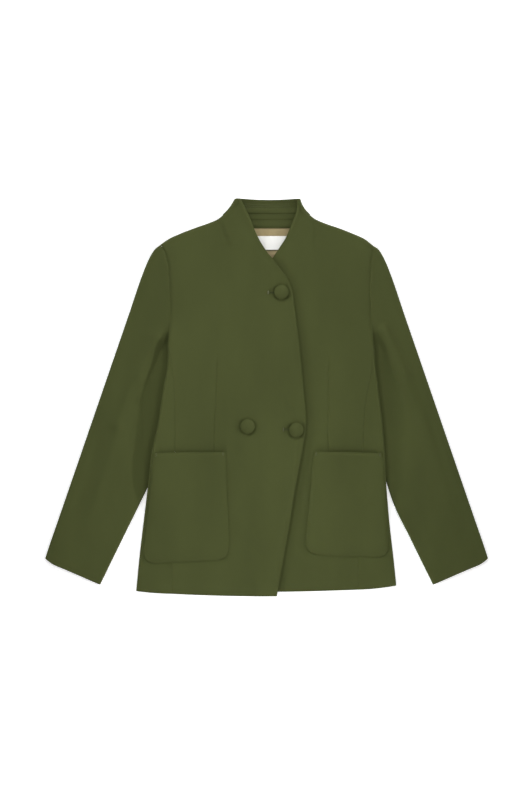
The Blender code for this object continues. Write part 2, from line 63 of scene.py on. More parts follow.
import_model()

# Sizes of the whole, in millimetres
MM = 0.001
LENGTH = 696.3
SEAM_GAP = 0.3
SEWN_GAP = 0.06
LAYER_GAP = 0.5
POCKET_GAP = 0.8
GRID = 2.4
BACK_GRID = 3.4
STAND_GRID = 0.7
POCKET_GRID = 2.2
EDGE_ROUND = 0.85
SEAM_ROUND = 0.45

# Cloth walls
FRONT_WALL = 1.7
BACK_WALL = 1.6
SIDE_WALL = 1.8
SLEEVE_WALL = 1.3
POCKET_WALL = 1.8
COLLAR_WALL = 1.4
FACING_WALL = 1.4
LINING_WALL = 1.0
LABEL_WALL = 1.0

# Lay of the cloth: heights of the outer face above the floor
LOFT = 7
HEM_DROP = 1
HEM_REACH = 60
SHOULDER_RISE = 4.5
SHOULDER_REACH = 85
SHOULDER_AT = (168, 592)
NECK_RISE = 1.8
NECK_REACH = 80
NECK_AT = (7, 650)
FOLD_GAP = 1
FOLD_REACH = 8
FOLD_RIM = 1
SIDE_FOLD = 3.2
SLEEVE_WRAP = 9
# Rows over which the shoulder fold begins, and points round a fold
FOLD_ONSET = 0.4
ROLL_STEPS = 10

# The sleeve slips under the side of the body and lifts it
SLEEVE_TUCKED = 3.5
ROLL_HEIGHT = {-1: 4.3, 1: 1.2}
ROLL_REACH = 22
ROLL_FOOT = (150, 220)
ROLL_HEAD = (500, 430)
LIFT = 4.9
LIFT_ARMPIT = (500, 430)
LIFT_HIP = (110, 200)
LIFT_INWARD = (4, 64)
TUCK_ARMPIT = (466, 442)
TUCK_HIP = (140, 196)
TUCK_SHARE = 0.56

# The right front lies over the left front. Lifts and dips along an edge: height, reach,
# h where it begins and where it is full
OVERLAP_RISE = FRONT_WALL + LAYER_GAP
OVERLAP_RAMP = (-40, -10)
EDGE_LIFT = (1.3, 8, 4, 54)
EDGE_DIP = (-1.8, 31, 596, 572)
NECK_LIFT = (0.5, 7, 560, 590)
UNDER_LIFT = (1.3, 8, 604, 624)
UNCOVERED = (1, 13)

# Roll of the neck edge: distance of its ridge from the edge, reach outside and inside;
# then its fall at the very edge, and the reach of that
NECK_ROLL = (6, 4, 16)
NECK_FALL = (0.6, 2.5)
NECK_ROLL_H = {-1: (630, 680), 1: (620, 670)}

# Seams and darts are drawn in a little: depth, reach
ARMHOLE_DIP = (1.2, 3.2)
ARMHOLE_X = 168
# Puckers along the armhole: height, reach, rate up, sway and its rate; h where they begin
PUCKERS = (0.1, 7, 0.62, 1.3, 0.11)
PUCKER_H = (440, 460)
HEM_SWELL = (0.8, 45)
# Side seams overlap at the hem: in half gaps, h where that begins and is full
SEAM_OVERLAP = 8
SEAM_CLOSED = (30, 18)
# Darts: top, foot, columns before and after
DARTS = {
    -1: ((-86, 432), (-93, 250), (78, 26)),
    1: ((109, 428), (107.5, 250), (55, 24)),
}
DART_DIP = (0.95, 0.85)
DART_FADE = 40
DART_NEAR = (0.5, 1.1, 2, 3.4)

# Pressed and sewn lines: distance from the edge, half width, depth
HEM_LINE = (5.6, 1.1, 0.14)
EDGE_LINE = (6, 1.1, 0.14)
CUFF_LINE = (34, 1.4, 0.12)
MOUTH_LINES = ((3.2, 0.9, 0.35), (0, 2.4, 1.4))
POCKET_LINE = (3.2, 1.2, 0.1)

# Right front, hem to collar: front edge x, h, outer edge x, h
FRONT_RIGHT = (
    (18, 0, -165.5, 4.2),
    (29.7, 68, -165, 62),
    (41, 132, -163.5, 132),
    (52.3, 202, -162, 202),
    (62.4, 255, -160.5, 255),
    (69.3, 305, -160, 307),
    (65.1, 356, -161, 356),
    (60.5, 408, -166.5, 409),
    (58.5, 428, -169.6, 430),
    (57.4, 438, -171.5, 441),
    (55.2, 457, -170.5, 460),
    (51.5, 484, -169.2, 486),
    (47.6, 514, -168.9, 523),
    (43.3, 539, -170.4, 558),
    (36, 556, -173.5, 585),
    (31.2, 564.5, -178.4, 602.5),
    (25.6, 571.5, -186, 615),
    (18.4, 581.5, -172.7, 624.4),
    (10.9, 590.5, -150, 635),
    (2.8, 600, -122.9, 645.4),
    (-6, 612.5, -100, 653.5),
    (-13.5, 625.5, -86, 659.7),
    (-20.5, 640, -77, 666.5),
    (-27.3, 657.7, -67.5, 677),
    (-36.9, 678.3, -60.5, 687.4),
    (-45.5, 695.4, -55.5, 696.3),
)

# Left front, the same columns
FRONT_LEFT = (
    (0, 7.2, 160.5, 11.4),
    (-15, 68, 160.5, 62),
    (-27, 132, 163, 132),
    (-37.5, 202, 166, 202),
    (-47, 255, 168.5, 255),
    (-54, 305, 169.5, 307),
    (-50.5, 356, 176, 356),
    (-44.5, 408, 185.8, 409),
    (-43, 428, 186.4, 430),
    (-42, 438, 187, 441),
    (-40, 457, 185.9, 460),
    (-37, 484, 182.6, 486),
    (-32.5, 514, 181.7, 523),
    (-26, 538, 182, 558),
    (-18, 554, 183.6, 585),
    (-11, 563.5, 185.5, 604),
    (-6, 570, 186.5, 613.5),
    (2, 580.5, 172.7, 624.4),
    (9.4, 590.5, 150, 635),
    (17.6, 602.5, 123, 645.4),
    (25.8, 614.8, 100, 653.5),
    (33.1, 626.5, 86, 659.7),
    (39.6, 641.5, 76.5, 666.5),
    (46.9, 659, 67.5, 677),
    (53, 678, 61.8, 687.4),
    (52.5, 695.6, 59, 695.6),
)
SHOULDER_ROW = 16
ARMPIT_ROW = 9
COLLAR_ROW = 22

# Side panels, hem to armpit: front seam x, h, side fold x, h, width on the underside
SIDE_RIGHT = (
    (-165.5, 4.2, -228.5, 9, 46),
    (-165, 62, -223.5, 62, 45),
    (-163.5, 132, -215.3, 132, 43),
    (-162, 202, -206.5, 202, 41),
    (-160.5, 255, -200.5, 255, 40),
    (-160, 307, -189, 307, 39),
    (-161, 356, -181.8, 356, 38),
    (-166.5, 409, -173.2, 409, 35),
    (-169.6, 430, -172.6, 430, 33),
    (-171.4, 440, -172.5, 440, 6),
)
SIDE_LEFT = (
    (160.5, 11.4, 227.3, 18.6, 46),
    (160.5, 62, 222.8, 62, 45),
    (163, 132, 214.9, 132, 43),
    (166, 202, 209, 202, 41),
    (168.5, 255, 206.3, 255, 40),
    (169.5, 307, 202, 307, 39),
    (176, 356, 196.3, 356, 38),
    (185.8, 409, 190, 409, 35),
    (186.4, 430, 188.8, 430, 33),
    (186.9, 440, 188.3, 440, 6),
)

# Sleeves: outer edge x, h from the shoulder point to the cuff, alike on both sides
SLEEVE_OUTER = (
    (194.5, 608.5),
    (202, 598),
    (209, 584),
    (217.4, 563),
    (239.9, 497.5),
    (282.4, 374),
    (325.7, 248),
    (361.8, 143),
    (383.4, 80.2),
    (388, 66),
)
# Inner edge x, h from the hidden end under the arm to the cuff
SLEEVE_INNER = {-1: (
    (-140, 421),
    (-139.5, 407),
    (-146, 356),
    (-161, 307),
    (-183, 255),
    (-205.8, 195.6),
    (-221, 164),
    (-252, 101),
    (-291.5, 20),
), 1: (
    (157, 421),
    (156.5, 407),
    (163, 356),
    (176.5, 307),
    (194.5, 255),
    (211, 195.6),
    (221.4, 164),
    (251.7, 101),
    (291.5, 20),
)}
# Sleeve hem x, h between the outer and inner corners
CUFF = (
    (377, 57.4),
    (354, 47),
    (329.5, 36.4),
    (305.5, 25.9),
)
# Armhole below the visible seam, under the body
UNDERARM = {-1: ((-166, 432), (-155, 425.5)), 1: ((182.5, 432), (172, 425.5))}
# Rows of points at the sleeve's head, by distance from its seam
SLEEVE_HEAD = (0, 0.7, 1.5, 2.4, 3.5, 4.8, 6.4, 8.2)

# The sleeve's seam slips under the front, more so towards the armpit, and dips: depth, reach
UNDER_ARMHOLE = (0.9, 1.5)
UNDER_ARMPIT = (495, 450)
UNDER_HEAD = (608, 592)
HEAD_DIP = (1.7, 2.6)
# Fullness eased in at the head: height, distance, reach; then its rate across, sway and sway's rate
HEAD_EASE = (0.16, 6, 9)
EASE_WAVE = (0.55, 0.8, 0.13)
# Rise to the seam at the armpit: h where it begins and is full, reach, gap under the cloth above
SEAM_BARE = (-8, -4)
FRONT_RISE = ((434, 442), (490, 466), 8, 0.2)
SIDE_RISE = ((456, 446), 6, 0.25)
# Inset of a sleeve's fold from its edge: first guess and least value
FOLD_INSET = (3.6, 2.8)
SLEEVE_ROWS = 229
SLEEVE_COLUMNS = 64

# Depth of the sleeve under the side of the body: h, right, left
TUCK = (
    (140, 0, 0),
    (196, 0, 0),
    (255, 17.5, 12),
    (307, 28.5, 26),
    (356, 36, 33.5),
    (409, 34, 33.5),
    (480, 32, 32),
)

# Reach of the sleeve's low part beside the body and width of its edge:
# h, right reach, left reach, right edge, left edge
TUCK_REACH = (
    (140, 4, 4, 40, 40),
    (196, 14, 16, 44, 44),
    (238, 27, 40, 46, 46),
    (308, 43, 57, 30, 30),
    (343, 44, 51, 18, 20),
    (364, 36.6, 46, 14, 18),
    (387, 28.4, 39.5, 11, 19),
    (415, 16.6, 29.5, 7.5, 24),
    (430, 10.5, 22, 6.5, 28),
    (448, 4.8, 14, 8, 25),
    (470, 2, 6, 8, 14),
)

# Largest folds of the sleeves, as in the solids: start x, h, end x, h, half width, height
SLEEVE_FOLDS = (
    (-185.5, 440, -226, 340, 8, -1.9),
    (-203, 452, -260, 300, 13, 2.6),
    (-260, 300, -318, 115, 18, 1.6),
    (207, 466, 243, 386, 10, 2.8),
    (243, 386, 305, 220, 15, 1.9),
    (194, 440, 226, 350, 9, -1.9),
)

# Patch pockets: x, h of the upper side, upper front, lower front and lower side corner
POCKETS = {
    -1: ((-196.5, 251.5), (-72.3, 253), (-64.5, 64.5), (-217.5, 57)),
    1: ((201.5, 251.5), (83.2, 253.5), (66.5, 73.5), (215.5, 67.5)),
}
POCKET_ROUND = 22
POCKET_EDGE = 6
POCKET_GAPE = {-1: 2.9, 1: 4.9}
# The cloth sinks above a mouth: depth, span outside and inside its ends, fade upwards and below
MOUTH_DIP = {-1: 3.4, 1: 3.7}
MOUTH_ENDS = (4, 10)
MOUTH_FADE = 10
MOUTH_UNDER = (-12, -4)
# Fullness of a pocket: height and reach; reach of the gape from the sides and the mouth
POCKET_SWELL = (0.7, 18)
GAPE_REACH = (30, 26)
POCKET_COLUMNS = 62
# Sewn edge: depth, reach
POCKET_SEWN = (0.8, 3.6)
# Rows of points at the mouth, by distance from it
MOUTH_ROWS = (8.6, 7, 5.8, 4.9, 4.2, 3.6, 3, 2.4, 1.8, 1, 0)

# Sag of the hem between the corners of a panel
HEM_SAG = {"front_right": 1.5, "front_left": 0.6, "side_right": 1, "side_left": 1.5}

# Seam down the middle of the back
CENTRE_BACK = 2

# Collar stand: h of its seam, dips of its top, ease at its ends, and the roll along the seam with
# the distances over which that begins and ends
NECK_SEAM_H = 666.5
COLLAR_DIP = (3.1, 1.2)
COLLAR_EASE = 1.6
SEAM_ROLL = 2.4
SEAM_ROLL_H = ((0.2, 2.4), (13, 4))
# By share of its height: sewn rows, swell and its reach across, half width and depth of a row,
# and place, half width and height of the raised top
STAND_ROWS = (0.47, 0.57, 0.68)
STAND_SWELL = (0.9, 0.32)
STAND_LINE = (0.032, 0.45)
STAND_TOP = (0.9, 0.08, 0.7)
# Sewing of the stand: pitch and length of a stitch, height, columns left free at each end
STAND_SEWING = (3.1, 2.5, 0.04, 22)

# Facing: h and height of its thick strip; distance, half width and height of its lower roll
FACING_STRIP = (660, 0.9)
FACING_ROLL = (5, 4.5, 1.9)
# Inside of the back neck: left x, right x, h
FACING_TOP = (-58, 64, 669)
FACING_FOOT = (-60, 70, 644.5)
LINING_TOP = (-62, 72, 644.2)
LINING_FOOT = (-62, 72, 556)
LABEL_TOP = (-17.5, 35.5, 630.6)
LABEL_FOOT = (-17.5, 35.5, 606.5)
INSIDE = BACK_WALL + SEAM_GAP

# Covered buttons: x, h
BUTTONS = {
    "button_neck": (26.1, 532.2),
    "button_waist_right": (-33.2, 297.3),
    "button_waist_left": (52, 291.2),
}
BUTTON_RADIUS = 12.4
BUTTON_HEIGHT = 6.2
BUTTON_RIM = (0.84, 0.4)
BUTTON_FALL = 0.51
BUTTON_FOOT = ((0.5, 0), (0.84, 0), (0.91, 0.03), (0.955, 0.1), (0.98, 0.19), (0.994, 0.29))
BUTTON_DOME = (0.93, 0.87, 0.8, 0.72, 0.62, 0.5, 0.38, 0.26, 0.13)
# Cloth drawn in by a button: depth, reach, height of its middle; then the line round its rim:
# depth, more below, distance, half width
BUTTON_DRAW = (1, 18, 7)
BUTTON_LINE = (0.8, 1.9, 0.1, 1.8)

# Buttonholes of the right front: start x, end x, h
BUTTONHOLES = ((2.8, 30.5, 531.5), (29.5, 57, 292))

# Threads: share of the length, share of the radius, rise of each ring of points
THREAD_RINGS = ((0, 0.35, -0.5), (0.12, 0.8, -0.1), (0.3, 1, 0.15), (0.7, 1, 0.15),
                (0.88, 0.8, -0.1), (1, 0.35, -0.5))
FINE_THREAD = 0.26

# Slow waves of cloth that lies loose: rate across and up, height
RIPPLES = ((0.021, 0.034, 0.12), (-0.043, 0.017, 0.09), (0.061, 0.052, 0.05),
           (0.108, -0.071, 0.025), (-0.16, 0.14, 0.012))

# Creases: share that tapers at each end; unevenness, its waves and its shift from one to the next
CREASE_TAPER = 0.22
CREASE_WAVE = (0.2, 1.7, 0.37)
# Laid one by one: start x, h, end x, h, bow to the left, half width, height
CREASES = {
    -1: (
        (-86, 440, -93, 246, 1, 9, -0.4),
        (-84, 660, -70, 617, 0, 4, -0.9),
        (-77, 660, -63, 624, 0, 5, 0.5),
        (-72, 634, -68.5, 607, 0, 6.5, -0.7),
        (-60, 628, -58, 606, 0, 7, 0.4),
        (-78, 640, 14, 560, 9, 15, 0.9),
        (-118, 560, -60, 460, 8, 26, 0.7),
        (14, 500, 40, 310, -3, 26, 1.8),
        (-34, 470, -30, 330, 3, 14, -0.6),
        (-118, 420, -124, 270, -3, 16, 0.5),
        (-52, 230, -44, 40, 2, 9, -0.45),
        (6, 250, -10, 30, 4, 22, 0.7),
        (-142, 52, -140, 8, 0, 9, -0.5),
        (18, 356, 58, 280, 0, 9, -1.6),
    ),
    1: (
        (109, 436, 107.5, 246, 1, 9, -0.4),
        (84, 660, 86, 615, 1, 4, -0.9),
        (79, 657, 80, 622, 1, 5, 0.5),
        (85.5, 634, 87, 607, 0, 6.5, -0.7),
        (98, 628, 99, 606, 0, 7, 0.4),
        (60, 610, 118, 520, 6, 22, 0.6),
        (84, 420, 84, 280, 2, 12, 0.5),
        (142, 430, 146, 270, -2, 16, 0.5),
        (118, 52, 120, 12, 0, 6, -0.4),
        (88, 56, 86, 12, 0, 10, 0.4),
    ),
    "sleeve_right": (
        (-176.6, 450, -219.2, 352, 1.5, 3.8, -3.2),
        (-178, 428, -206, 350, 2, 6, 0.8),
        (-182.5, 478, -231, 362, 2, 8, 2.2),
        (-232, 400, -318, 112, 5, 8, 1),
        (-214, 352, -252, 236, -4, 9, -1),
        (-288, 300, -340, 130, 2, 10, -0.7),
        (-262, 178, -300, 84, -2, 8, 0.6),
        (-205, 560, -232, 470, 2, 12, 0.6),
    ),
    "sleeve_left": (
        (201, 480, 247, 378, 3, 6.5, 2.3),
        (244, 392, 306, 216, 3, 8, 1.1),
        (190, 450, 224, 352, 2, 4.5, -1.2),
        (212, 398, 256, 278, -3, 8, -1.2),
        (278, 330, 336, 150, -2, 9, -0.7),
        (300, 226, 336, 92, 3, 10, 0.6),
        (262, 190, 300, 84, 2, 9, -0.5),
        (206, 560, 228, 490, -2, 10, 0.6),
    ),
    "back": (
        (-120, 470, -40, 430, 6, 9, 0.5),
        (118, 462, 46, 420, -5, 9, 0.5),
        (-90, 300, -30, 280, 4, 10, 0.45),
        (100, 310, 30, 290, -4, 10, 0.45),
        (-70, 180, -84, 40, 3, 10, 0.4),
        (78, 170, 92, 44, 3, 10, 0.4),
        (-60, 620, -20, 560, 3, 8, 0.4),
        (64, 622, 24, 560, -3, 8, 0.4),
    ),
}

# Colours, light and view
GREEN = (0.0637, 0.0745, 0.0222)
BEIGE = (0.336, 0.272, 0.140)
WHITE = (0.95, 0.945, 0.91)
THREAD = (0.090, 0.100, 0.050)
TACK = (0.076, 0.087, 0.032)
# Near-black thread for the buttonhole lips and the label's foot: the stitches are real, their darkness
# is painted shade.
SHADE_THREAD_COLOUR = (0.046, 0.053, 0.019)
BAR = (0.135, 0.146, 0.080)
FRAME_HEIGHT = 1.4028
LENS = 85
SENSOR = 36
VIEW_CENTRE = (-0.00105, -0.00465)

NAMES = {-1: "right", 1: "left"}
FRONTS = {-1: FRONT_RIGHT, 1: FRONT_LEFT}
SIDES = {-1: SIDE_RIGHT, 1: SIDE_LEFT}


def soft(value):
    """Soft step from 0 to 1."""
    value = np.clip(value, 0, 1)
    return value * value * (3 - 2 * value)


def ramp(value, start, end):
    """Soft step from 0 at the start to 1 at the end, which may be the lower of the two."""
    return soft((value - start) / (end - start))


def bell(distance, reach):
    """Soft bump of height 1 that fades with distance."""
    return np.exp(-(distance / reach) ** 2)


def even(count, start=0.0, end=1.0):
    """One row of evenly spaced values."""
    return np.linspace(start, end, count)[None, :]


def unit(vectors):
    """The same directions with length 1."""
    return vectors / np.maximum(np.linalg.norm(vectors, axis=-1, keepdims=True), 1e-9)


def running_length(points):
    """Length along a line of points, from 0."""
    return np.concatenate([[0.0], np.cumsum(np.linalg.norm(np.diff(points, axis=0), axis=1))])


class Line:
    """A smooth line through table points, read by row, by share of length or by key."""

    def __init__(self, points, keys=None, corner=None):
        self.points = np.array(points, float)
        if keys is None:
            keys = running_length(self.points)
        self.keys = np.array(keys, float)
        steps = np.diff(self.keys)[:, None]
        rates = np.diff(self.points, axis=0) / steps
        inner = (rates[:-1] * steps[1:] + rates[1:] * steps[:-1]) / (steps[1:] + steps[:-1])
        self.starts = np.concatenate([rates[:1], inner])
        self.ends = np.concatenate([inner, rates[-1:]])
        if corner is not None:
            self.ends[corner - 1] = rates[corner - 1]
            self.starts[corner] = rates[corner]

    def at_key(self, key):
        key = np.clip(key, self.keys[0], self.keys[-1])
        row = np.clip(np.searchsorted(self.keys, key, side="right") - 1, 0, len(self.keys) - 2)
        step = (self.keys[row + 1] - self.keys[row])[..., None]
        share = (key - self.keys[row])[..., None] / step
        t2, t3 = share ** 2, share ** 3
        return (self.points[row] * (2 * t3 - 3 * t2 + 1)
                + self.starts[row] * step * (t3 - 2 * t2 + share)
                + self.points[row + 1] * (3 * t2 - 2 * t3)
                + self.ends[row] * step * (t3 - t2))

    def at_row(self, rows):
        return self.at_key(np.interp(rows, np.arange(len(self.keys)), self.keys))

    def at_share(self, share):
        return self.at_key(np.asarray(share, float) * self.keys[-1])


def columns(table, x, h):
    """One pair of columns of a table as plan points."""
    return [[row[x], row[h]] for row in table]


def reader(table, key, value):
    """Smooth lookup of one column by another."""
    line = Line([[row[value]] for row in table], [row[key] for row in table])
    return lambda wanted: line.at_key(np.asarray(wanted, float))[..., 0]


def sided(right, left):
    """Lookup by height on the side of the garment that x lies on."""
    return lambda x, h: np.where(x > 0, left(h), right(h))


SIDE_EDGE = sided(reader(SIDE_RIGHT, 3, 2), reader(SIDE_LEFT, 3, 2))
TUCK_DEPTH = sided(reader(TUCK, 0, 1), reader(TUCK, 0, 2))
TUCK_SPAN = sided(reader(TUCK_REACH, 0, 1), reader(TUCK_REACH, 0, 2))
TUCK_EDGE = sided(reader(TUCK_REACH, 0, 3), reader(TUCK_REACH, 0, 4))
UNDER_EDGE = reader(FRONT_LEFT, 1, 0)
OVER_EDGE = reader(FRONT_RIGHT, 1, 0)
HEMS = {
    -1: reader((SIDE_RIGHT[0][2:], SIDE_RIGHT[0], FRONT_RIGHT[0]), 0, 1),
    1: reader((FRONT_LEFT[0], SIDE_LEFT[0], SIDE_LEFT[0][2:]), 0, 1),
}


def inward(x, h):
    """Distance from the side of the body towards the middle, negative outside it."""
    return np.abs(SIDE_EDGE(x, h)) - np.abs(x)


def lift(x, h):
    """Height of the body's underside, raised where a sleeve lies beneath."""
    beyond = ramp(inward(x, h) - TUCK_DEPTH(x, h), *LIFT_INWARD)
    return LIFT * ramp(h, *LIFT_ARMPIT) * ramp(h, *LIFT_HIP) * (1 - beyond)


def loft(x, h):
    """Height of the upper cloth over the underside."""
    shoulder = np.hypot(np.abs(x) - SHOULDER_AT[0], h - SHOULDER_AT[1])
    neck = np.hypot(x - NECK_AT[0], h - NECK_AT[1])
    rise = LOFT - HEM_DROP * np.exp(-h / HEM_REACH)
    return rise + SHOULDER_RISE * bell(shoulder, SHOULDER_REACH) + NECK_RISE * bell(neck, NECK_REACH)


def fold_depth(x, h, turned):
    """Height lost by the upper cloth, or gained by the lower, at the shoulder fold."""
    return turned * (0.5 * loft(x, h) - FOLD_RIM - FOLD_GAP / 2)


def body_top(x, h):
    """Outer face of the fronts and sides, without their fine creases."""
    roll = np.where(x > 0, ROLL_HEIGHT[1], ROLL_HEIGHT[-1]) * bell(inward(x, h), ROLL_REACH)
    return lift(x, h) + loft(x, h) + roll * ramp(h, *ROLL_FOOT) * ramp(h, *ROLL_HEAD)


def over_top(x, h):
    """Outer face of the right front, raised where it covers the left one."""
    return body_top(x, h) + OVERLAP_RISE * ramp(x - UNDER_EDGE(h), *OVERLAP_RAMP)


def folds(x, h):
    """Sum of the large folds at points of a sleeve."""
    total = np.zeros_like(x)
    for x0, h0, x1, h1, half, height in SLEEVE_FOLDS:
        run, rise = x1 - x0, h1 - h0
        share = np.clip(((x - x0) * run + (h - h0) * rise) / (run ** 2 + rise ** 2), 0, 1)
        total += height * bell(np.hypot(x - x0 - run * share, h - h0 - rise * share), half)
    return total


def creases(name, x, h):
    """Listed creases of a panel: soft and uneven, tapering at both ends."""
    total = np.zeros_like(x)
    depth, waves, shift = CREASE_WAVE
    for number, (x0, h0, x1, h1, bow, half, height) in enumerate(CREASES[name]):
        length = math.hypot(x1 - x0, h1 - h0)
        run, rise = (x1 - x0) / length, (h1 - h0) / length
        reach = ((x - x0) * run + (h - h0) * rise) / length
        share = np.clip(reach, 0, 1)
        away = (h - h0) * run - (x - x0) * rise - bow * 4 * share * (1 - share)
        taper = soft(share / CREASE_TAPER) * soft((1 - share) / CREASE_TAPER)
        uneven = 1 + depth * np.sin(2 * math.pi * (waves * share + shift * number))
        total += height * uneven * taper * bell(np.hypot(away, (reach - share) * length), half)
    return total


def ripple(x, h, start):
    """Slight unevenness of cloth that lies loose."""
    total = np.zeros_like(x)
    for number, (across, up, height) in enumerate(RIPPLES):
        total += height * np.sin(across * x + up * h + start + 1.9 * number)
    return total


def inside_pocket(corners, x, h):
    """1 well inside a pocket, 0 well outside, soft at its edge."""
    points = np.array(corners)
    middle = points.mean(axis=0)
    depth = np.full_like(x, np.inf)
    for first, second in zip(points, np.roll(points, -1, axis=0)):
        run, rise = unit(second - first)
        sign = np.sign((middle[1] - first[1]) * run - (middle[0] - first[0]) * rise)
        depth = np.minimum(depth, sign * ((h - first[1]) * run - (x - first[0]) * rise))
    return soft(0.5 + depth / POCKET_EDGE)


def mouth_dip(corners, x, h, depth):
    """The cloth sinks above the mouth of a pocket."""
    side, front = corners[:2]
    low, high = sorted((side[0], front[0]))
    above = h - side[1] - (front[1] - side[1]) * (x - side[0]) / (front[0] - side[0])
    out, inner = MOUTH_ENDS
    within = ramp(x, low - out, low + inner) * ramp(x, high + out, high - inner)
    sunk = np.exp(-np.maximum(above, 0) / MOUTH_FADE) * ramp(above, *MOUTH_UNDER)
    return -depth * within * sunk


def button_dip(x, h):
    """The cloth is drawn in round each button, and more closely along its rim."""
    depth, reach, middle = BUTTON_DRAW
    round_rim, more_below, distance, half = BUTTON_LINE
    total = np.zeros_like(x)
    for spot_x, spot_h in BUTTONS.values():
        total -= depth * bell(np.hypot(x - spot_x, h - spot_h - middle), reach)
        from_rim = np.hypot(x - spot_x, h - spot_h) - BUTTON_RADIUS
        below = np.clip((spot_h - h) / BUTTON_RADIUS, 0, 1)
        total -= (round_rim + more_below * below ** 2) * bell(from_rim - distance, half)
    return total


def pressed_line(distance, at, half, depth):
    """Trough along a line at a distance from an edge."""
    return -depth * bell(distance - at, half)


def body_relief(x, h, side):
    """Fine form of the fronts and side panels."""
    total = creases(side, x, h) + ripple(x, h, 0.7 * side)
    total *= 1 - inside_pocket(POCKETS[side], x, h)
    total += mouth_dip(POCKETS[side], x, h, MOUTH_DIP[side])
    hem = h - HEMS[side](x)
    total += pressed_line(hem, *HEM_LINE) + HEM_SWELL[0] * np.exp(-hem / HEM_SWELL[1])
    height, reach, rate, sway, slow = PUCKERS
    puckers = np.sin(h * rate + sway * np.sin(h * slow))
    return total + height * puckers * bell(np.abs(x) - ARMHOLE_X, reach) * ramp(h, *PUCKER_H)


def along_edge(edge, h, height, reach, start, full):
    """A lift or dip along an edge, from the height where it begins."""
    return height * bell(edge, reach) * ramp(h, start, full)


def neck_roll(edge, h, side):
    """Rolled edge of the collar: a soft ridge that falls towards the neck."""
    at, outside, inside = NECK_ROLL
    ridge = bell(edge - at, np.where(edge < at, outside, inside))
    return (ridge - NECK_FALL[0] * bell(edge, NECK_FALL[1])) * ramp(h, *NECK_ROLL_H[side])


def right_relief(x, h):
    """Fine form of the right front, which lies on top."""
    edge = OVER_EDGE(h) - x
    total = body_relief(x, h, -1) + button_dip(x, h) + pressed_line(edge, *EDGE_LINE)
    total += along_edge(edge, h, *EDGE_LIFT) + along_edge(edge, h, *NECK_LIFT)
    return total + neck_roll(edge, h, -1)


def left_relief(x, h):
    """Fine form of the left front, flat where the right front covers it."""
    beside = x - OVER_EDGE(h)
    edge_x, edge_h = np.array(FRONT_LEFT).T[:2]
    edge = x - np.interp(h, edge_h, edge_x)
    total = body_relief(x, h, 1) * ramp(beside, *UNCOVERED)
    total += along_edge(edge, h, *UNDER_LIFT) + along_edge(beside, h, *EDGE_DIP)
    return total + neck_roll(edge, h, 1)


def sleeve_under_share(x, h):
    """Share by which a sleeve is pressed flat under and beside the body."""
    outward = -inward(x, h) - TUCK_SPAN(x, h)
    free = soft(outward / TUCK_EDGE(x, h) + TUCK_SHARE)
    return ramp(h, *TUCK_ARMPIT) * ramp(h, *TUCK_HIP) * (1 - free)


def sleeve_top(x, h, fine=0.0):
    """Outer face of a top sleeve, pressed flat where it slips under the body."""
    free = loft(x, h) + folds(x, h) + fine
    return free + (SLEEVE_TUCKED - free) * sleeve_under_share(x, h)


def seam_rise(x, h, from_head, z):
    """Height by which a sleeve rises to its seam with the front and the side at the armpit."""
    bare = ramp(-inward(x, h), *SEAM_BARE)
    foot, head, reach, gap = FRONT_RISE
    to_front = bare * ramp(h, *foot) * ramp(h, *head) * bell(from_head, reach)
    rise = to_front * np.maximum(body_top(x, h) - FRONT_WALL - gap - z, 0)
    head, reach, gap = SIDE_RISE
    to_side = (1 - bare) * ramp(h, *head) * bell(from_head, reach)
    return rise + to_side * np.maximum(lift(x, h) - gap - z, 0)


def place(x, h, z):
    """Points in millimetres of the scene for points of the garment."""
    return np.stack([x, h - LENGTH / 2, z], axis=-1)


def set_inputs(node, values):
    """Fixed values of a node's inputs."""
    for key, value in values.items():
        node.inputs[key].default_value = value


def shades(colour, spread):
    """A darker and a lighter shade about a colour."""
    return [tuple(part * (1 + way * spread) for part in colour) for way in (-1, 1)]


def cloth_material(name, colours, rough, sheen, pitch, grain, depth, blotch):
    """Woven cloth: a fine diagonal rib, uneven yarns and faint broad shading."""
    dark, light = colours
    material = bpy.data.materials.new(name)
    material.use_nodes = True
    tree = material.node_tree

    def node(kind, links, values, **settings):
        made = tree.nodes.new("ShaderNode" + kind)
        for key, value in settings.items():
            setattr(made, key, value)
        set_inputs(made, values)
        for key, source in links.items():
            tree.links.new(source, made.inputs[key])
        return made

    spot = node("TexCoord", {}, {}).outputs
    rib = node("TexWave", {"Vector": spot["UV"]},
               {"Scale": 2 * math.pi / (10 * pitch * MM), "Distortion": 1.6, "Detail": 2.0,
                "Detail Scale": 1.4}, wave_type="BANDS", bands_direction="DIAGONAL")
    yarn = node("TexNoise", {"Vector": spot["UV"]},
                {"Scale": 1 / (grain * MM), "Detail": 3.0, "Roughness": 0.6})
    along = node("Mapping", {"Vector": spot["Object"]}, {"Scale": (1.0, 0.35, 1.0)})
    shade = node("TexNoise", {"Vector": along.outputs["Vector"]}, {"Scale": 14.0, "Detail": 3.0})
    height = node("Math", {0: rib.outputs["Fac"], 2: yarn.outputs["Fac"]}, {1: 0.55},
                  operation="MULTIPLY_ADD").outputs[0]
    bump = node("Bump", {"Height": height}, {"Strength": depth, "Distance": 0.00015})
    fine = node("Math", {0: height}, {1: (1 - blotch) / 1.55}, operation="MULTIPLY")
    tone = node("Math", {0: shade.outputs["Fac"], 2: fine.outputs[0]}, {1: blotch},
                operation="MULTIPLY_ADD")
    mix = node("Mix", {0: tone.outputs[0]}, {6: (*dark, 1.0), 7: (*light, 1.0)}, data_type="RGBA")
    shader = tree.nodes["Principled BSDF"]
    set_inputs(shader, {
        "Roughness": rough, "Specular IOR Level": 0.15, "Sheen Weight": sheen,
        "Sheen Roughness": 0.5, "Sheen Tint": (*(part * 4 for part in light), 1.0)})
    tree.links.new(bump.outputs["Normal"], shader.inputs["Normal"])
    tree.links.new(mix.outputs[2], shader.inputs["Base Color"])
    return material
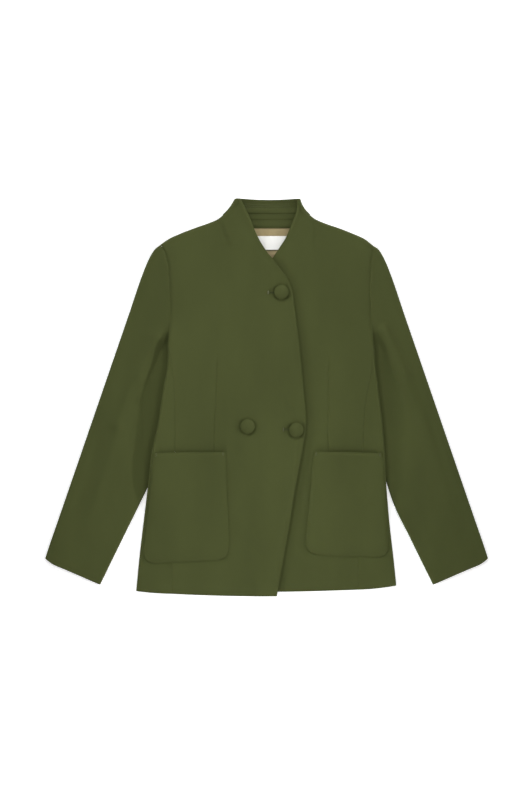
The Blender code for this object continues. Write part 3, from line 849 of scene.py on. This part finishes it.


# Cloths: colour and spread, roughness, sheen, rib pitch, grain, depth of weave, share of broad shading
# The collar stand and neck facing get a darker copy of the wool: painted shade for the shade they lie
# in at the neck.
SHADED_GREEN = [part * 0.9 for part in GREEN]
WOOL = cloth_material("olive_wool_cloth", shades(GREEN, 0.2), 0.88, 0.12, 0.95, 0.5, 0.4, 0.95)
WOOL_PAINTED_SHADE = cloth_material("olive_wool_inside_painted_shade", shades(SHADED_GREEN, 0.2), 0.88, 0.12, 0.95, 0.5, 0.4, 0.3)
COVER = cloth_material("olive_button_cloth", shades(GREEN, 0.2), 0.85, 0.12, 0.95, 0.5, 0.4, 0.2)
SATIN = cloth_material("beige_satin", shades(BEIGE, 0.16), 0.45, 0.05, 0.45, 0.3, 0.2, 0.4)
TAPE = cloth_material("white_tape", shades(WHITE, 0.06), 0.6, 0.05, 0.6, 0.4, 0.35, 0.2)
YARN, TACKING, SHADE_THREAD, BARS = [
    cloth_material(name, shades(colour, 0.15), 0.6, 0.1, 0.3, 0.2, 0.3, 0.1)
    for name, colour in (("olive_thread", THREAD), ("tack_thread", TACK), ("lip_thread_painted_shade", SHADE_THREAD_COLOUR),
                         ("bar_thread", BAR))]


def finish_piece(name, points, faces, uvs, material):
    """A smooth mesh piece that rides on the body."""
    data = bpy.data.meshes.new(name)
    data.from_pydata((points * MM).tolist(), [], faces)
    layer = data.uv_layers.new(name="cloth")
    corners = np.empty(len(data.loops), np.int32)
    data.loops.foreach_get("vertex_index", corners)
    layer.data.foreach_set("uv", (uvs[corners] * MM).astype(np.float32).ravel())
    data.materials.append(material)
    data.shade_smooth()
    piece = bpy.data.objects.new(name, data)
    bpy.context.scene.collection.objects.link(piece)
    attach(piece, "root")
    return piece


def faced(points, quads, way):
    """Faces, turned over where they look against a direction."""
    first, second, last = (points[quads[:, corner]] for corner in (0, 1, 3))
    against = (np.cross(second - first, last - first) * way).sum() < 0
    return quads[:, ::-1] if against else quads


def shell(node, grid, wall, up=True, material=WOOL, uvs=None, edge=EDGE_ROUND):
    """A thin closed shell of cloth on a grid of points, with softly rounded edges.

    The wall goes down from an upper face, or up from a lower one; the columns before the middle
    tell which way an upper face looks.
    """
    rows, cols = grid.shape[:2]
    normal = np.cross(np.gradient(grid, axis=1), np.gradient(grid, axis=0))
    tells = normal[:, cols // 12:cols // 3, 2] if up else normal[..., 2]
    normal = unit(normal if (tells.sum() > 0) == up else -normal).reshape(-1, 3)
    flat = grid.reshape(-1, 3)
    index = np.arange(rows * cols).reshape(rows, cols)
    loop = np.concatenate([index[0, :], index[1:, -1], index[-1, -2::-1], index[-2:0:-1, 0]])
    inner = np.concatenate([index[1, :], index[1:, -2], index[-2, -2::-1], index[-2:0:-1, 1]])
    rim, rim_normal, outward = flat[loop], normal[loop], flat[loop] - flat[inner]
    out = unit(np.cross(np.roll(rim, -1, axis=0) - np.roll(rim, 1, axis=0), rim_normal))
    if (outward * out).sum() < 0:
        out = -out
    room = np.linalg.norm(outward, axis=1, keepdims=True)
    inset = np.minimum(np.broadcast_to(edge, (rows, cols)).reshape(-1, 1)[loop], 0.8 * room)
    top = flat.copy()
    top[loop] = rim - out * inset
    rings = []
    for turn in np.radians((30, 60, 90, 120, 150)):
        drop = rim_normal * wall * 0.5 * (1 - math.cos(turn))
        rings.append(rim - out * inset * (1 - math.sin(turn)) - drop)
    points = np.concatenate([top, top - normal * wall] + rings)
    count, size = rows * cols, len(loop)
    quads = np.stack([index[:-1, :-1], index[:-1, 1:], index[1:, 1:], index[1:, :-1]], axis=-1)
    quads = quads.reshape(-1, 4)
    quads = faced(flat, quads, normal[quads[:, 0]])
    lines = [loop, *(2 * count + k * size + np.arange(size) for k in range(len(rings))), loop + count]
    sides = np.concatenate([np.stack([upper, lower, np.roll(lower, -1), np.roll(upper, -1)], axis=-1)
                            for upper, lower in zip(lines, lines[1:])])
    sides = faced(points, sides, np.tile(out, (len(rings) + 1, 1)))
    faces = np.concatenate([quads, quads[:, ::-1] + count, sides])
    uvs = (grid[..., :2] if uvs is None else uvs).reshape(-1, 2)
    spread = np.concatenate([uvs, uvs] + [uvs[loop]] * len(rings))
    piece = finish_piece("cloth_" + node, points, faces.tolist(), spread, material)
    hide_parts(node)


def cloth_lengths(grid):
    """Lengths along and across a sheet, for the direction of its weave."""
    middle = grid.shape[1] // 2
    across = np.linalg.norm(np.diff(grid, axis=1), axis=-1)
    across = np.concatenate([np.zeros((len(grid), 1)), np.cumsum(across, axis=1)], axis=1)
    across -= across[:, middle][:, None]
    down = running_length(grid[:, middle])[:, None]
    return np.stack([across, np.broadcast_to(down, across.shape)], axis=-1)


def section_rows(lines, spacing):
    """Fractional rows so that steps stay near the spacing."""
    rows = []
    for k in range(len(lines[0]) - 1):
        longest = max(np.linalg.norm(np.subtract(line[k + 1], line[k])) for line in lines)
        parts = max(1, round(longest / spacing))
        rows += [k + part / parts for part in range(parts)]
    return np.array(rows + [len(lines[0]) - 1], float)


def between(start, end, shares):
    """Plan x and h at shares of the way across sections, from their starts to their ends."""
    plan = start[:, None] + (end - start)[:, None] * shares[..., None]
    return plan[..., 0], plan[..., 1]


def rolled(reach, fold):
    """Distances from the outermost line and shares turned over, from flat to rim."""
    angles = np.radians(even(ROLL_STEPS, 0, 90))
    flat = reach * even(ROLL_STEPS, 1, 1 / ROLL_STEPS)
    curved = reach * (1 - np.sin(angles))
    distance = flat + (curved - flat) * fold
    return np.hstack([distance, np.zeros_like(reach)]), np.hstack([fold * (1 - np.cos(angles)), fold])


def rolled_points(start, end, fold, count, ends):
    """Plan x, h and turned shares of sections that roll up at their start, or at both ends."""
    width = np.linalg.norm(end - start, axis=1, keepdims=True)
    inset, turned = rolled(np.full_like(width, FOLD_REACH), fold)
    again = ends - 1
    middle = FOLD_REACH + (width - FOLD_REACH * ends) * even(count)[:, 1:count - again]
    distance = np.hstack([inset[:, ::-1], middle] + [width - inset] * again)
    turned = np.hstack([turned[:, ::-1], np.zeros_like(middle)] + [turned] * again)
    return *between(start, end, distance / width), turned


def dart_columns(dart, edge, outer, width, reach):
    """Distances from the front edge of columns that run along the dart, and from the dart."""
    (x0, h0), (x1, h1), (before, after) = dart
    slope = (x1 - x0) / (h1 - h0)
    (edge_x, edge_h), (run, rise) = edge.T[..., None], (outer - edge).T[..., None]
    share = (x0 + (edge_h - h0) * slope - edge_x) / (run - slope * rise)
    at = np.clip(share, 0.3, 0.72) * width
    near = np.concatenate([np.negative(DART_NEAR[::-1]), [0], DART_NEAR])
    near = at + near * np.minimum(1, width / 90)
    first, low, high = np.minimum(0.8, 0.2 * width), near[:, :1], near[:, -1:]
    inner_part = first + (low - first) * even(before)[:, :-1]
    outer_part = high + (width - reach - high) * even(after)[:, 1:-1]
    main = np.hstack([np.zeros_like(first), inner_part, near, outer_part])
    return main, main - at


def dart_depth(dart, h, beside):
    """Depth of the sewn line of a dart, fading towards its point."""
    high, low = dart[0][1], dart[1][1]
    length = ramp(h, high, high - DART_FADE) * ramp(h, low - DART_FADE, low - DART_FADE / 2)
    return DART_DIP[0] * bell(beside, DART_DIP[1]) * length


def hem_sag(node, share, h):
    """Distance by which a panel hangs lower than a straight hem, fading upwards."""
    return HEM_SAG[node] * 4 * share * (1 - share) * ramp(h, HEM_REACH, 0)


def front(side, top, relief):
    """A front with its half collar, rolled down at the shoulder and collar fold."""
    node = "front_" + NAMES[side]
    edges, outers = columns(FRONTS[side], 0, 1), columns(FRONTS[side], 2, 3)
    rows = section_rows((edges, outers), GRID)
    edge = Line(edges).at_row(rows)
    outer = Line(outers, corner=SHOULDER_ROW).at_row(rows)
    outer[:, 0] -= side * SEWN_GAP / 2 * (rows <= SHOULDER_ROW)
    fold = np.clip((rows - SHOULDER_ROW) / FOLD_ONSET + 1, 0, 1)[:, None]
    width = np.linalg.norm(outer - edge, axis=1, keepdims=True)
    reach = np.minimum(FOLD_REACH, 0.45 * width)
    inset, turned = rolled(reach, fold)
    main, beside = dart_columns(DARTS[side], edge, outer, width, reach)
    distance = np.hstack([main, width - inset])
    turned = np.hstack([np.zeros_like(main), turned])
    x, h = between(edge, outer, distance / width)
    h = h - hem_sag(node, distance / width, h)
    fine = relief(x, h)
    flat = slice(main.shape[1])
    fine[:, flat] -= dart_depth(DARTS[side], h[:, flat], beside)
    armhole = soft(rows - ARMPIT_ROW + 0.5)[:, None] * (1 - fold)
    fine -= ARMHOLE_DIP[0] * bell(width - distance, ARMHOLE_DIP[1]) * armhole
    z = top(x, h) - fold_depth(x, h, turned) + fine * (1 - turned) ** 2
    z[:, -1:] -= FOLD_RIM * fold
    round_off = np.full(x.shape, EDGE_ROUND)
    round_off[rows < ARMPIT_ROW, -1] = SEAM_ROUND
    shell(node, place(x, h, z), FRONT_WALL, edge=round_off)


def side_panel(side):
    """A side panel from the front seam round the side fold to the underside."""
    node, table = "side_" + NAMES[side], SIDES[side]
    seams, folded = columns(table, 0, 1), columns(table, 2, 3)
    rows = section_rows((seams, folded), GRID)
    seam, fold = Line(seams).at_row(rows), Line(folded).at_row(rows)
    closed = SEAM_OVERLAP * ramp(seam[:, 1], *SEAM_CLOSED)
    seam[:, 0] += side * SEWN_GAP / 2 * (1 - closed)
    under = Line([[row[4]] for row in table], np.arange(len(table))).at_row(rows)
    strip = np.linalg.norm(fold - seam, axis=1, keepdims=True)
    bend = np.minimum(SIDE_FOLD, 0.75 * strip)
    turn = np.radians(even(25, 0, 180))
    upper = (1 - bend / strip) * even(26)[:, :-1]
    curved = 1 - bend * (1 - np.sin(turn)) / strip
    shares = np.hstack([upper, curved])
    x, h = between(seam, fold, shares)
    h = h - hem_sag(node, shares, h)
    z = body_top(x, h) + body_relief(x, h, side)
    start = upper.shape[1]
    start_x, start_h, high = (part[:, start:start + 1] for part in (x, h, z))
    floor = lift(start_x, start_h)
    z[:, start:] = floor + (high - floor) * 0.5 * (1 + np.cos(turn))
    back_x = start_x - side * (under - bend) * even(15)[:, 1:]
    back_h = np.broadcast_to(start_h, back_x.shape)
    grid = np.concatenate([place(x, h, z), place(back_x, back_h, lift(back_x, back_h))], axis=1)
    shell(node, grid, SIDE_WALL, uvs=cloth_lengths(grid), edge=SEAM_ROUND)


def back_edge(side):
    """Outer edge of one half of the back, hem to neck."""
    table = SIDES[side]
    line = [[row[2] - side * (row[4] + SEWN_GAP), row[3]] for row in table]
    line.append([table[-1][2] - side * 2.5, table[-1][3] + 5])
    for number, row in enumerate(FRONTS[side][ARMPIT_ROW + 1:COLLAR_ROW + 1]):
        on_armhole = number < SHOULDER_ROW - ARMPIT_ROW - 1
        line.append([row[2] - side * SEWN_GAP / 2 * on_armhole, row[3]])
    line[-1][1] = NECK_SEAM_H - SEWN_GAP
    return line


def back_panels():
    """The two halves of the back, flat on the floor, rolled up to meet the fronts."""
    lines = {side: back_edge(side) for side in NAMES}
    armpit = len(SIDE_RIGHT)
    corner = SHOULDER_ROW - ARMPIT_ROW
    rows = section_rows(list(lines.values()), BACK_GRID)
    lower, upper = rows <= armpit - 1, rows >= armpit
    step = (rows - armpit + 1)[:, None]
    ends = {}
    for side, line in lines.items():
        points = np.array(line[armpit - 1]) * (1 - step) + np.array(line[armpit]) * step
        points[lower] = Line(line[:armpit]).at_row(rows[lower])
        points[upper] = Line(line[armpit:], corner=corner).at_row(rows[upper] - armpit)
        ends[side] = points
    fold = np.clip(rows - armpit - corner + 1, 0, 1)[:, None]
    for side, name in NAMES.items():
        across = ends[1] - ends[-1]
        seam = CENTRE_BACK + side * SEWN_GAP / 2
        centre = ends[-1] + across * (seam - ends[-1][:, :1]) / across[:, :1]
        x, h, turned = rolled_points(ends[side], centre, fold, 44, 1)
        fine = np.maximum(creases("back", x, h), 0)
        z = lift(x, h) + fold_depth(x, h, turned) + fine * (1 - turned) ** 2
        z[:, :1] += FOLD_RIM * fold
        shell("back_" + name, place(x, h, z), BACK_WALL, up=False)


def sleeve(side):
    """A two-piece sleeve: the top piece wraps both folds, the under piece lies flat."""
    name, inner = NAMES[side], SLEEVE_INNER[side]
    armhole = columns(FRONTS[side], 2, 3)[SHOULDER_ROW:ARMPIT_ROW - 1:-1]
    for point in armhole:
        slip = UNDER_ARMHOLE[0] + UNDER_ARMHOLE[1] * ramp(point[1], *UNDER_ARMPIT)
        point[0] += side * (SEWN_GAP / 2 - slip * ramp(point[1], *UNDER_HEAD))
    armhole += [*UNDERARM[side], inner[0]]
    outer = [armhole[0]] + [(x * side, h) for x, h in SLEEVE_OUTER]
    cuff = [outer[-1]] + [(x * side, h) for x, h in CUFF] + [inner[-1]]
    outer_line, inner_line, head_line, cuff_line = map(Line, (outer, inner, armhole, cuff))
    corners = np.array([outer[0], inner[0], outer[-1], inner[-1]], float)

    def plan_at(u, v):
        u, v = np.broadcast_arrays(u, v)
        u3, v3 = u[..., None], v[..., None]
        ends = outer_line.at_share(v) * (1 - u3) + inner_line.at_share(v) * u3
        hems = head_line.at_share(u) * (1 - v3) + cuff_line.at_share(u) * v3
        top = corners[0] * (1 - u3) + corners[1] * u3
        foot = corners[2] * (1 - u3) + corners[3] * u3
        return np.moveaxis(ends + hems - top * (1 - v3) - foot * v3, -1, 0)

    length = outer_line.keys[-1]
    head = np.array(SLEEVE_HEAD) / length
    down = np.concatenate([head, np.linspace(head[-1], 1, SLEEVE_ROWS)[1:]])[:, None]
    steps = np.diff(plan_at(even(25), down), axis=2)
    width = np.hypot(*steps).sum(axis=1, keepdims=True)
    turn = np.radians(even(21, 180, 0))
    parts, shares = [], []

    def from_fold(share, inner_side):
        return plan_at(1 - share if inner_side else share, down)

    for inner_side in (False, True):
        share = FOLD_INSET[0] / width
        for _ in range(2):
            high = sleeve_top(*from_fold(share, inner_side))
            inset = np.maximum(0.5 * high, FOLD_INSET[1])
            share = inset / width
        plan = from_fold(inset * (1 - np.sin(turn)) / width, inner_side)
        curved = place(*plan, high * 0.5 * (1 + np.cos(turn)))
        plan = from_fold((inset + SLEEVE_WRAP * even(6, 1, 0)[:, :-1]) / width, inner_side)
        parts.append(np.concatenate([place(*plan, np.zeros_like(plan[0])), curved], axis=1))
        shares.append((share, (inset + SLEEVE_WRAP + SEAM_GAP) / width))
    low, high = shares[0][0], 1 - shares[1][0]
    u = low + (high - low) * even(SLEEVE_COLUMNS)[:, 1:-1]
    x, h = plan_at(u, down)
    calm = soft(np.minimum(u - low, high - u) * width / 16)
    from_head, along = down * length, u * width
    rate, sway, slow = EASE_WAVE
    easing = np.sin(along * rate + sway * np.sin(along * slow))
    fine = creases("sleeve_" + name, x, h) + ripple(x, h, 2 + side)
    fine += HEAD_EASE[0] * easing * bell(from_head - HEAD_EASE[1], HEAD_EASE[2])
    fine += pressed_line((1 - down) * length, *CUFF_LINE) - HEAD_DIP[0] * bell(from_head, HEAD_DIP[1])
    z = sleeve_top(x, h, fine * calm)
    z = z + seam_rise(x, h, from_head, z)
    grid = np.concatenate([parts[0], place(x, h, z), parts[1][:, ::-1]], axis=1)
    shell("sleeve_top_" + name, grid, SLEEVE_WALL, uvs=cloth_lengths(grid))
    low, high = shares[0][1], 1 - shares[1][1]
    plan = plan_at(low + (high - low) * even(40), down)[:, ::5]
    grid = place(*plan, np.zeros_like(plan[0]))
    shell("sleeve_under_" + name, grid, SLEEVE_WALL, up=False, uvs=cloth_lengths(grid))


def ring_faces(turns, count):
    """Numbers of the points on stacked rings, and the faces between the rings."""
    index = np.arange(turns * count).reshape(turns, count)
    after = np.roll(index, -1, axis=1)
    quads = np.stack([index[:-1], after[:-1], after[1:], index[1:]], axis=-1)
    return index, quads.reshape(-1, 4).tolist()


def stitches(name, starts, ends, radius, material):
    """Short threads from start points to end points, each a small capsule."""
    side = unit(np.cross(unit(ends - starts), (0, 0, 1)))
    top = np.cross(side, unit(ends - starts))
    turns = np.radians(np.arange(0, 360, 45))
    points = []
    for share, size, rise in THREAD_RINGS:
        middle = starts + (ends - starts) * share + top * radius * rise
        for turn in turns:
            points.append(middle + (side * math.cos(turn) + top * math.sin(turn)) * radius * size)
    index, block = ring_faces(len(THREAD_RINGS), len(turns))
    block += [index[0, ::-1].tolist(), index[-1].tolist()]
    faces = [[spot + number * index.size for spot in face]
             for number in range(len(starts)) for face in block]
    points = np.stack(points, axis=1).reshape(-1, 3)
    finish_piece(name, points, faces, points[:, :2], material)


def pocket(side, top):
    """A patch pocket lying on the front and side, round at its lower corners."""
    node = "pocket_" + NAMES[side]
    side_top, front_top, front_foot, side_foot = np.array(POCKETS[side])
    deep = (np.linalg.norm(side_top - side_foot) + np.linalg.norm(front_top - front_foot)) / 2
    heights = POCKET_ROUND * (1 - np.cos(np.radians(np.linspace(0, 90, 19))))
    hem = deep - np.array(MOUTH_ROWS)
    middle = np.arange(POCKET_ROUND + POCKET_GRID, hem[0] - 1, POCKET_GRID)
    heights = np.concatenate([heights, middle, hem])[:, None]
    left = side_foot + (side_top - side_foot) * heights / deep
    right = front_foot + (front_top - front_foot) * heights / deep
    width = np.linalg.norm(right - left, axis=1, keepdims=True)
    short = POCKET_ROUND - np.minimum(heights, POCKET_ROUND)
    inset = POCKET_ROUND - np.sqrt(POCKET_ROUND ** 2 - short ** 2)
    across = (inset + (width - 2 * inset) * even(POCKET_COLUMNS)) / width
    x, h = between(left, right, across)
    to_mouth = deep - heights
    to_side = np.minimum(across, 1 - across) * width
    to_edge = np.minimum(to_side, heights)
    inner = soft(to_side / POCKET_SWELL[1]) * soft(heights / POCKET_SWELL[1])
    gape = soft(to_side / GAPE_REACH[0]) * bell(to_mouth, GAPE_REACH[1])
    fine = POCKET_GAPE[side] * gape + (ripple(x, h, 3.1) + POCKET_SWELL[0]) * inner
    fine += pressed_line(to_edge, *POCKET_LINE) - POCKET_SEWN[0] * bell(to_edge, POCKET_SEWN[1])
    for line in MOUTH_LINES:
        fine += pressed_line(to_mouth, *line)
    grid = place(x, h, top(x, h) + POCKET_GAP + POCKET_WALL + fine)
    tacks = np.array([(grid[row, first], grid[row, last]) for row in range(-10, -1)
                      for first, last in ((1, 3), (-2, -4))]) + (0, 0, 0.1)
    stitches("tacks_" + node, tacks[:, 0], tacks[:, 1], FINE_THREAD, TACKING)
    shell(node, grid, POCKET_WALL)


def flat_piece(node, top, foot, floor, wall, counts, form, material):
    """A flat piece lying inside the back of the neck."""
    share = even(counts[1]).T
    low, high, h = (start + (end - start) * share for start, end in zip(foot, top))
    x = low + (high - low) * even(counts[0])
    h = np.broadcast_to(h, x.shape)
    shell(node, place(x, h, floor + wall + form(x, h)), wall, material=material, edge=0.35)


def stand_form(across, share, h):
    """Form of the collar stand: a roll along the seam, sewn rows and a soft middle."""
    rise = STAND_SWELL[0] * bell(across, STAND_SWELL[1]) * np.sin(math.pi * np.clip(share, 0, 1)) ** 2
    for level in STAND_ROWS:
        rise = rise + pressed_line(share, level, *STAND_LINE)
    rise = np.maximum(rise - pressed_line(share, *STAND_TOP) + STAND_LINE[1], 0)
    from_seam = h - FACING_TOP[2]
    begins, ends = SEAM_ROLL_H
    return rise + SEAM_ROLL * ramp(from_seam, *begins) * ramp(from_seam, *ends)


def collar_stand():
    """The back of the collar, flat on the floor between the two half collars."""
    sides = [columns(FRONTS[side], 2, 3)[COLLAR_ROW:] for side in NAMES]
    for line in sides:
        line[0][1] = NECK_SEAM_H + SEAM_GAP
    rows = section_rows(sides, STAND_GRID)
    share = (rows / rows[-1])[:, None]
    left, right = [Line(line).at_row(rows) for line in sides]
    x, h, turned = rolled_points(left, right, np.ones_like(share), 96, 2)
    across = 2 * (x - left[:, :1]) / (right - left)[:, :1] - 1
    dip = (COLLAR_DIP[0] * (1 - across ** 2) - COLLAR_DIP[1] * (1 - turned)) * share
    level = h - dip + COLLAR_EASE * turned * (1 - share)
    z = fold_depth(x, h, turned) + stand_form(across, share, level) * (1 - turned) ** 2
    z[:, [0, -1]] += FOLD_RIM
    # The stand is drawn in the darker copy of the wool, painted shade.
    shell("collar_back", place(x, level, z), COLLAR_WALL, up=False, material=WOOL_PAINTED_SHADE)
    starts, ends = [], []
    pitch, length, above, free = STAND_SEWING
    top = place(x, level, z + COLLAR_WALL + above)
    for wanted in STAND_ROWS:
        line = top[np.argmin(np.abs(share[:, 0] - wanted)), free:-free]
        way = running_length(line)
        at = np.arange(1, way[-1] - 3, pitch)
        for points, shift in ((starts, 0), (ends, length)):
            points.append(np.stack([np.interp(at + shift, way, part) for part in line.T], axis=-1))
    stitches("stand_stitches", np.concatenate(starts), np.concatenate(ends), FINE_THREAD, YARN)


def button(node, x, h):
    """A covered button: cloth drawn over a dome and gathered under its rim."""
    around = np.radians(30 * np.arange(12))
    rim_x = np.append(x + BUTTON_RADIUS * np.cos(around), x)
    rim_h = np.append(h + BUTTON_RADIUS * np.sin(around), h)
    seat = over_top(rim_x, rim_h).max() + SEAM_GAP
    profile = list(BUTTON_FOOT)
    rim = 1 - BUTTON_RIM[0]
    for angle in np.radians(np.linspace(0, 36, 7)):
        out, rise = rim * math.cos(angle), rim * math.sin(angle)
        profile.append((BUTTON_RIM[0] + out, BUTTON_RIM[1] + rise))
    profile += [(reach, 1 - BUTTON_FALL * (reach / 0.97) ** 2) for reach in BUTTON_DOME]
    reach, level = np.array(profile).T[..., None]
    angles = np.radians(np.arange(0, 360, 5))
    gathers = 1 - 0.018 * bell(level - 0.12, 0.14) * (0.5 + 0.5 * np.sin(angles * 19))
    radius = reach * BUTTON_RADIUS * gathers
    height = np.broadcast_to(level * BUTTON_HEIGHT, radius.shape)
    ring = np.stack([radius * np.cos(angles), radius * np.sin(angles), height], axis=-1)
    points = np.concatenate([ring.reshape(-1, 3), [(0, 0, 0), (0, 0, BUTTON_HEIGHT)]])
    index, faces = ring_faces(*radius.shape)
    foot, peak = index.size, index.size + 1
    after = np.roll(index, -1, axis=1).tolist()
    index = index.tolist()
    faces += [[foot, late, early] for early, late in zip(index[0], after[0])]
    faces += [[peak, early, late] for early, late in zip(index[-1], after[-1])]
    uvs = points[:, :2] + points[:, 2:] * (0.3, 0.2)
    points = points + (x, h - LENGTH / 2, seat)
    piece = finish_piece("cover_" + node, points, faces, uvs, COVER)
    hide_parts(node)


def facing_form(x, h):
    """The facing is thicker along its upper seam and rolls over at its lower edge."""
    strip = FACING_STRIP[1] * ramp(h - FACING_STRIP[0], -0.6, 0.6)
    roll = -pressed_line(h - FACING_FOOT[2], *FACING_ROLL)
    return strip + roll + 0.2 * np.sin(x * 0.11 + 0.6) * ramp(h, 658, 648)


def lining_form(x, h):
    """Loose lining: a few soft folds, flat under the label."""
    beside = 1 - ramp(h, 600, 604) * ramp(h, 633, 630)
    beside = beside * ramp(h, LINING_TOP[2], LINING_TOP[2] - 5)
    waves = 0.5 + 0.5 * np.sin(x * 0.16 - h * 0.13 + 0.9 * np.sin(x * 0.05))
    return 1.5 * ramp(h, 605, 598) + beside * (1.1 * waves ** 2 + 0.4 * np.sin(x * 0.33 + h * 0.2) ** 2)


def label_form(x, h):
    """The tape lies almost flat, its free sides a little raised."""
    return 0.12 * np.sin(x * 0.12) + 0.8 * bell(h - LABEL_FOOT[2], 3)


def on_front(x, h, rise):
    """Points just above the face of the right front."""
    x, h = np.broadcast_arrays(x, h)
    return place(x, h, over_top(x, h) + right_relief(x, h) + rise)


def buttonhole(name, low, high, h):
    """A worked buttonhole: close stitches along both lips and a bar at the inner end."""
    x = np.repeat(np.arange(low + 0.6, high, 0.42), 2)
    lip = np.resize((-1, 1), len(x))
    starts, ends = on_front(x, h + lip * 0.25, 0.12), on_front(x + 0.1, h + lip * 1.5, 0.12)
    # The lip stitches are darkened thread: painted shade in the slit of the buttonhole.
    stitches(name, starts, ends, 0.24, SHADE_THREAD)
    x = np.arange(low - 0.7, low + 0.9, 0.4)
    stitches(name + "_bar", on_front(x, h - 3.4, 0.5), on_front(x, h + 3.4, 0.5), FINE_THREAD, BARS)


front(-1, over_top, right_relief)
front(1, body_top, left_relief)
for side in NAMES:
    side_panel(side)
back_panels()
for side in NAMES:
    sleeve(side)
collar_stand()
# The facing is drawn in the darker copy of the wool, painted shade.
flat_piece("neck_facing", FACING_TOP, FACING_FOOT, INSIDE, FACING_WALL, (80, 62), facing_form, WOOL_PAINTED_SHADE)
flat_piece("back_lining", LINING_TOP, LINING_FOOT, INSIDE, LINING_WALL, (80, 60), lining_form,
           SATIN)
flat_piece("neck_label", LABEL_TOP, LABEL_FOOT, INSIDE + LINING_WALL + SEAM_GAP, LABEL_WALL,
           (50, 30), label_form, TAPE)
# Near-black stitches along the label's foot: a painted shadow line on the lining under the label's
# edge.
shadow_line_x = np.arange(LABEL_FOOT[0] + 0.4, LABEL_FOOT[1] - 3, 2.9)
shadow_line_h = np.full_like(shadow_line_x, LABEL_FOOT[2] - 0.7)
shadow_line_z = INSIDE + LINING_WALL + lining_form(shadow_line_x, shadow_line_h) + 0.3
stitches("label_foot_shadow_stitches", place(shadow_line_x, shadow_line_h, shadow_line_z), place(shadow_line_x + 2.8, shadow_line_h, shadow_line_z),
         0.5, SHADE_THREAD)
pocket(-1, over_top)
pocket(1, body_top)
for label, (spot_x, spot_h) in BUTTONS.items():
    button(label, spot_x, spot_h)
for number, (low, high, level) in enumerate(BUTTONHOLES):
    buttonhole("buttonhole_%d" % (number + 1), low, high, level)


def floor_plane(reach, level):
    """A plain pale floor."""
    data = bpy.data.meshes.new("floor")
    corners = ((-reach, -reach), (reach, -reach), (reach, reach), (-reach, reach))
    data.from_pydata([(x, y, level) for x, y in corners], [], [(0, 1, 2, 3)])
    material = bpy.data.materials.new("pale_floor")
    material.use_nodes = True
    set_inputs(material.node_tree.nodes["Principled BSDF"], {
        "Base Color": (0.92, 0.92, 0.92, 1.0), "Roughness": 0.9, "Specular IOR Level": 0.1,
        "Emission Color": (1.0, 1.0, 1.0, 1.0), "Emission Strength": 0.5})
    data.materials.append(material)
    floor = bpy.data.objects.new("floor", data)
    bpy.context.scene.collection.objects.link(floor)


def area_light(name, spot, aim, size, power, spread):
    """A soft box."""
    data = bpy.data.lights.new(name, "AREA")
    data.shape = "RECTANGLE"
    data.size, data.size_y = size
    data.energy = power
    data.spread = math.radians(spread)
    lamp = bpy.data.objects.new(name, data)
    lamp.visible_camera = False
    bpy.context.scene.collection.objects.link(lamp)
    way = np.subtract(aim, spot)
    lamp.location = spot
    tilt = math.atan2(math.hypot(way[0], way[1]), -way[2])
    lamp.rotation_euler = (tilt, 0.0, math.atan2(-way[0], way[1]) if tilt > 1e-6 else 0.0)


floor_plane(4.0, -0.0003)
for side, low_power, high_power in ((-1, 0.64, 0.68), (1, 0.81, 0.79)):
    aim = (-0.25 * side, 0.0, 0.0)
    area_light("low_strip", (2.62 * side, 0.0, 0.877), aim, (2.0, 0.1), low_power, 9.5)
    area_light("high_strip", (1.87 * side, 0.0, 2.12), aim, (2.0, 0.2), high_power, 22.6)
area_light("head_box", (-0.4, 3.2, 1.5), (0.0, 0.0, 0.0), (1.8, 0.9), 45.0, 180.0)
area_light("hem_box", (0.0, -0.38, 0.5), (0.0, -0.38, 0.0), (0.35, 0.15), 0.25, 180.0)
world = bpy.data.worlds.new("studio")
world.use_nodes = True
set_inputs(world.node_tree.nodes["Background"], {"Color": (1.0, 1.0, 1.0, 1.0), "Strength": 0.39})
bpy.context.scene.world = world
bpy.context.scene.view_settings.view_transform = "Standard"

lens = bpy.data.cameras.new("view")
lens.lens = LENS
lens.sensor_width = SENSOR
lens.clip_end = 50.0
view = bpy.data.objects.new("view", lens)
view.location = (*VIEW_CENTRE, FRAME_HEIGHT * LENS / SENSOR)
bpy.context.scene.collection.objects.link(view)
bpy.context.scene.camera = view
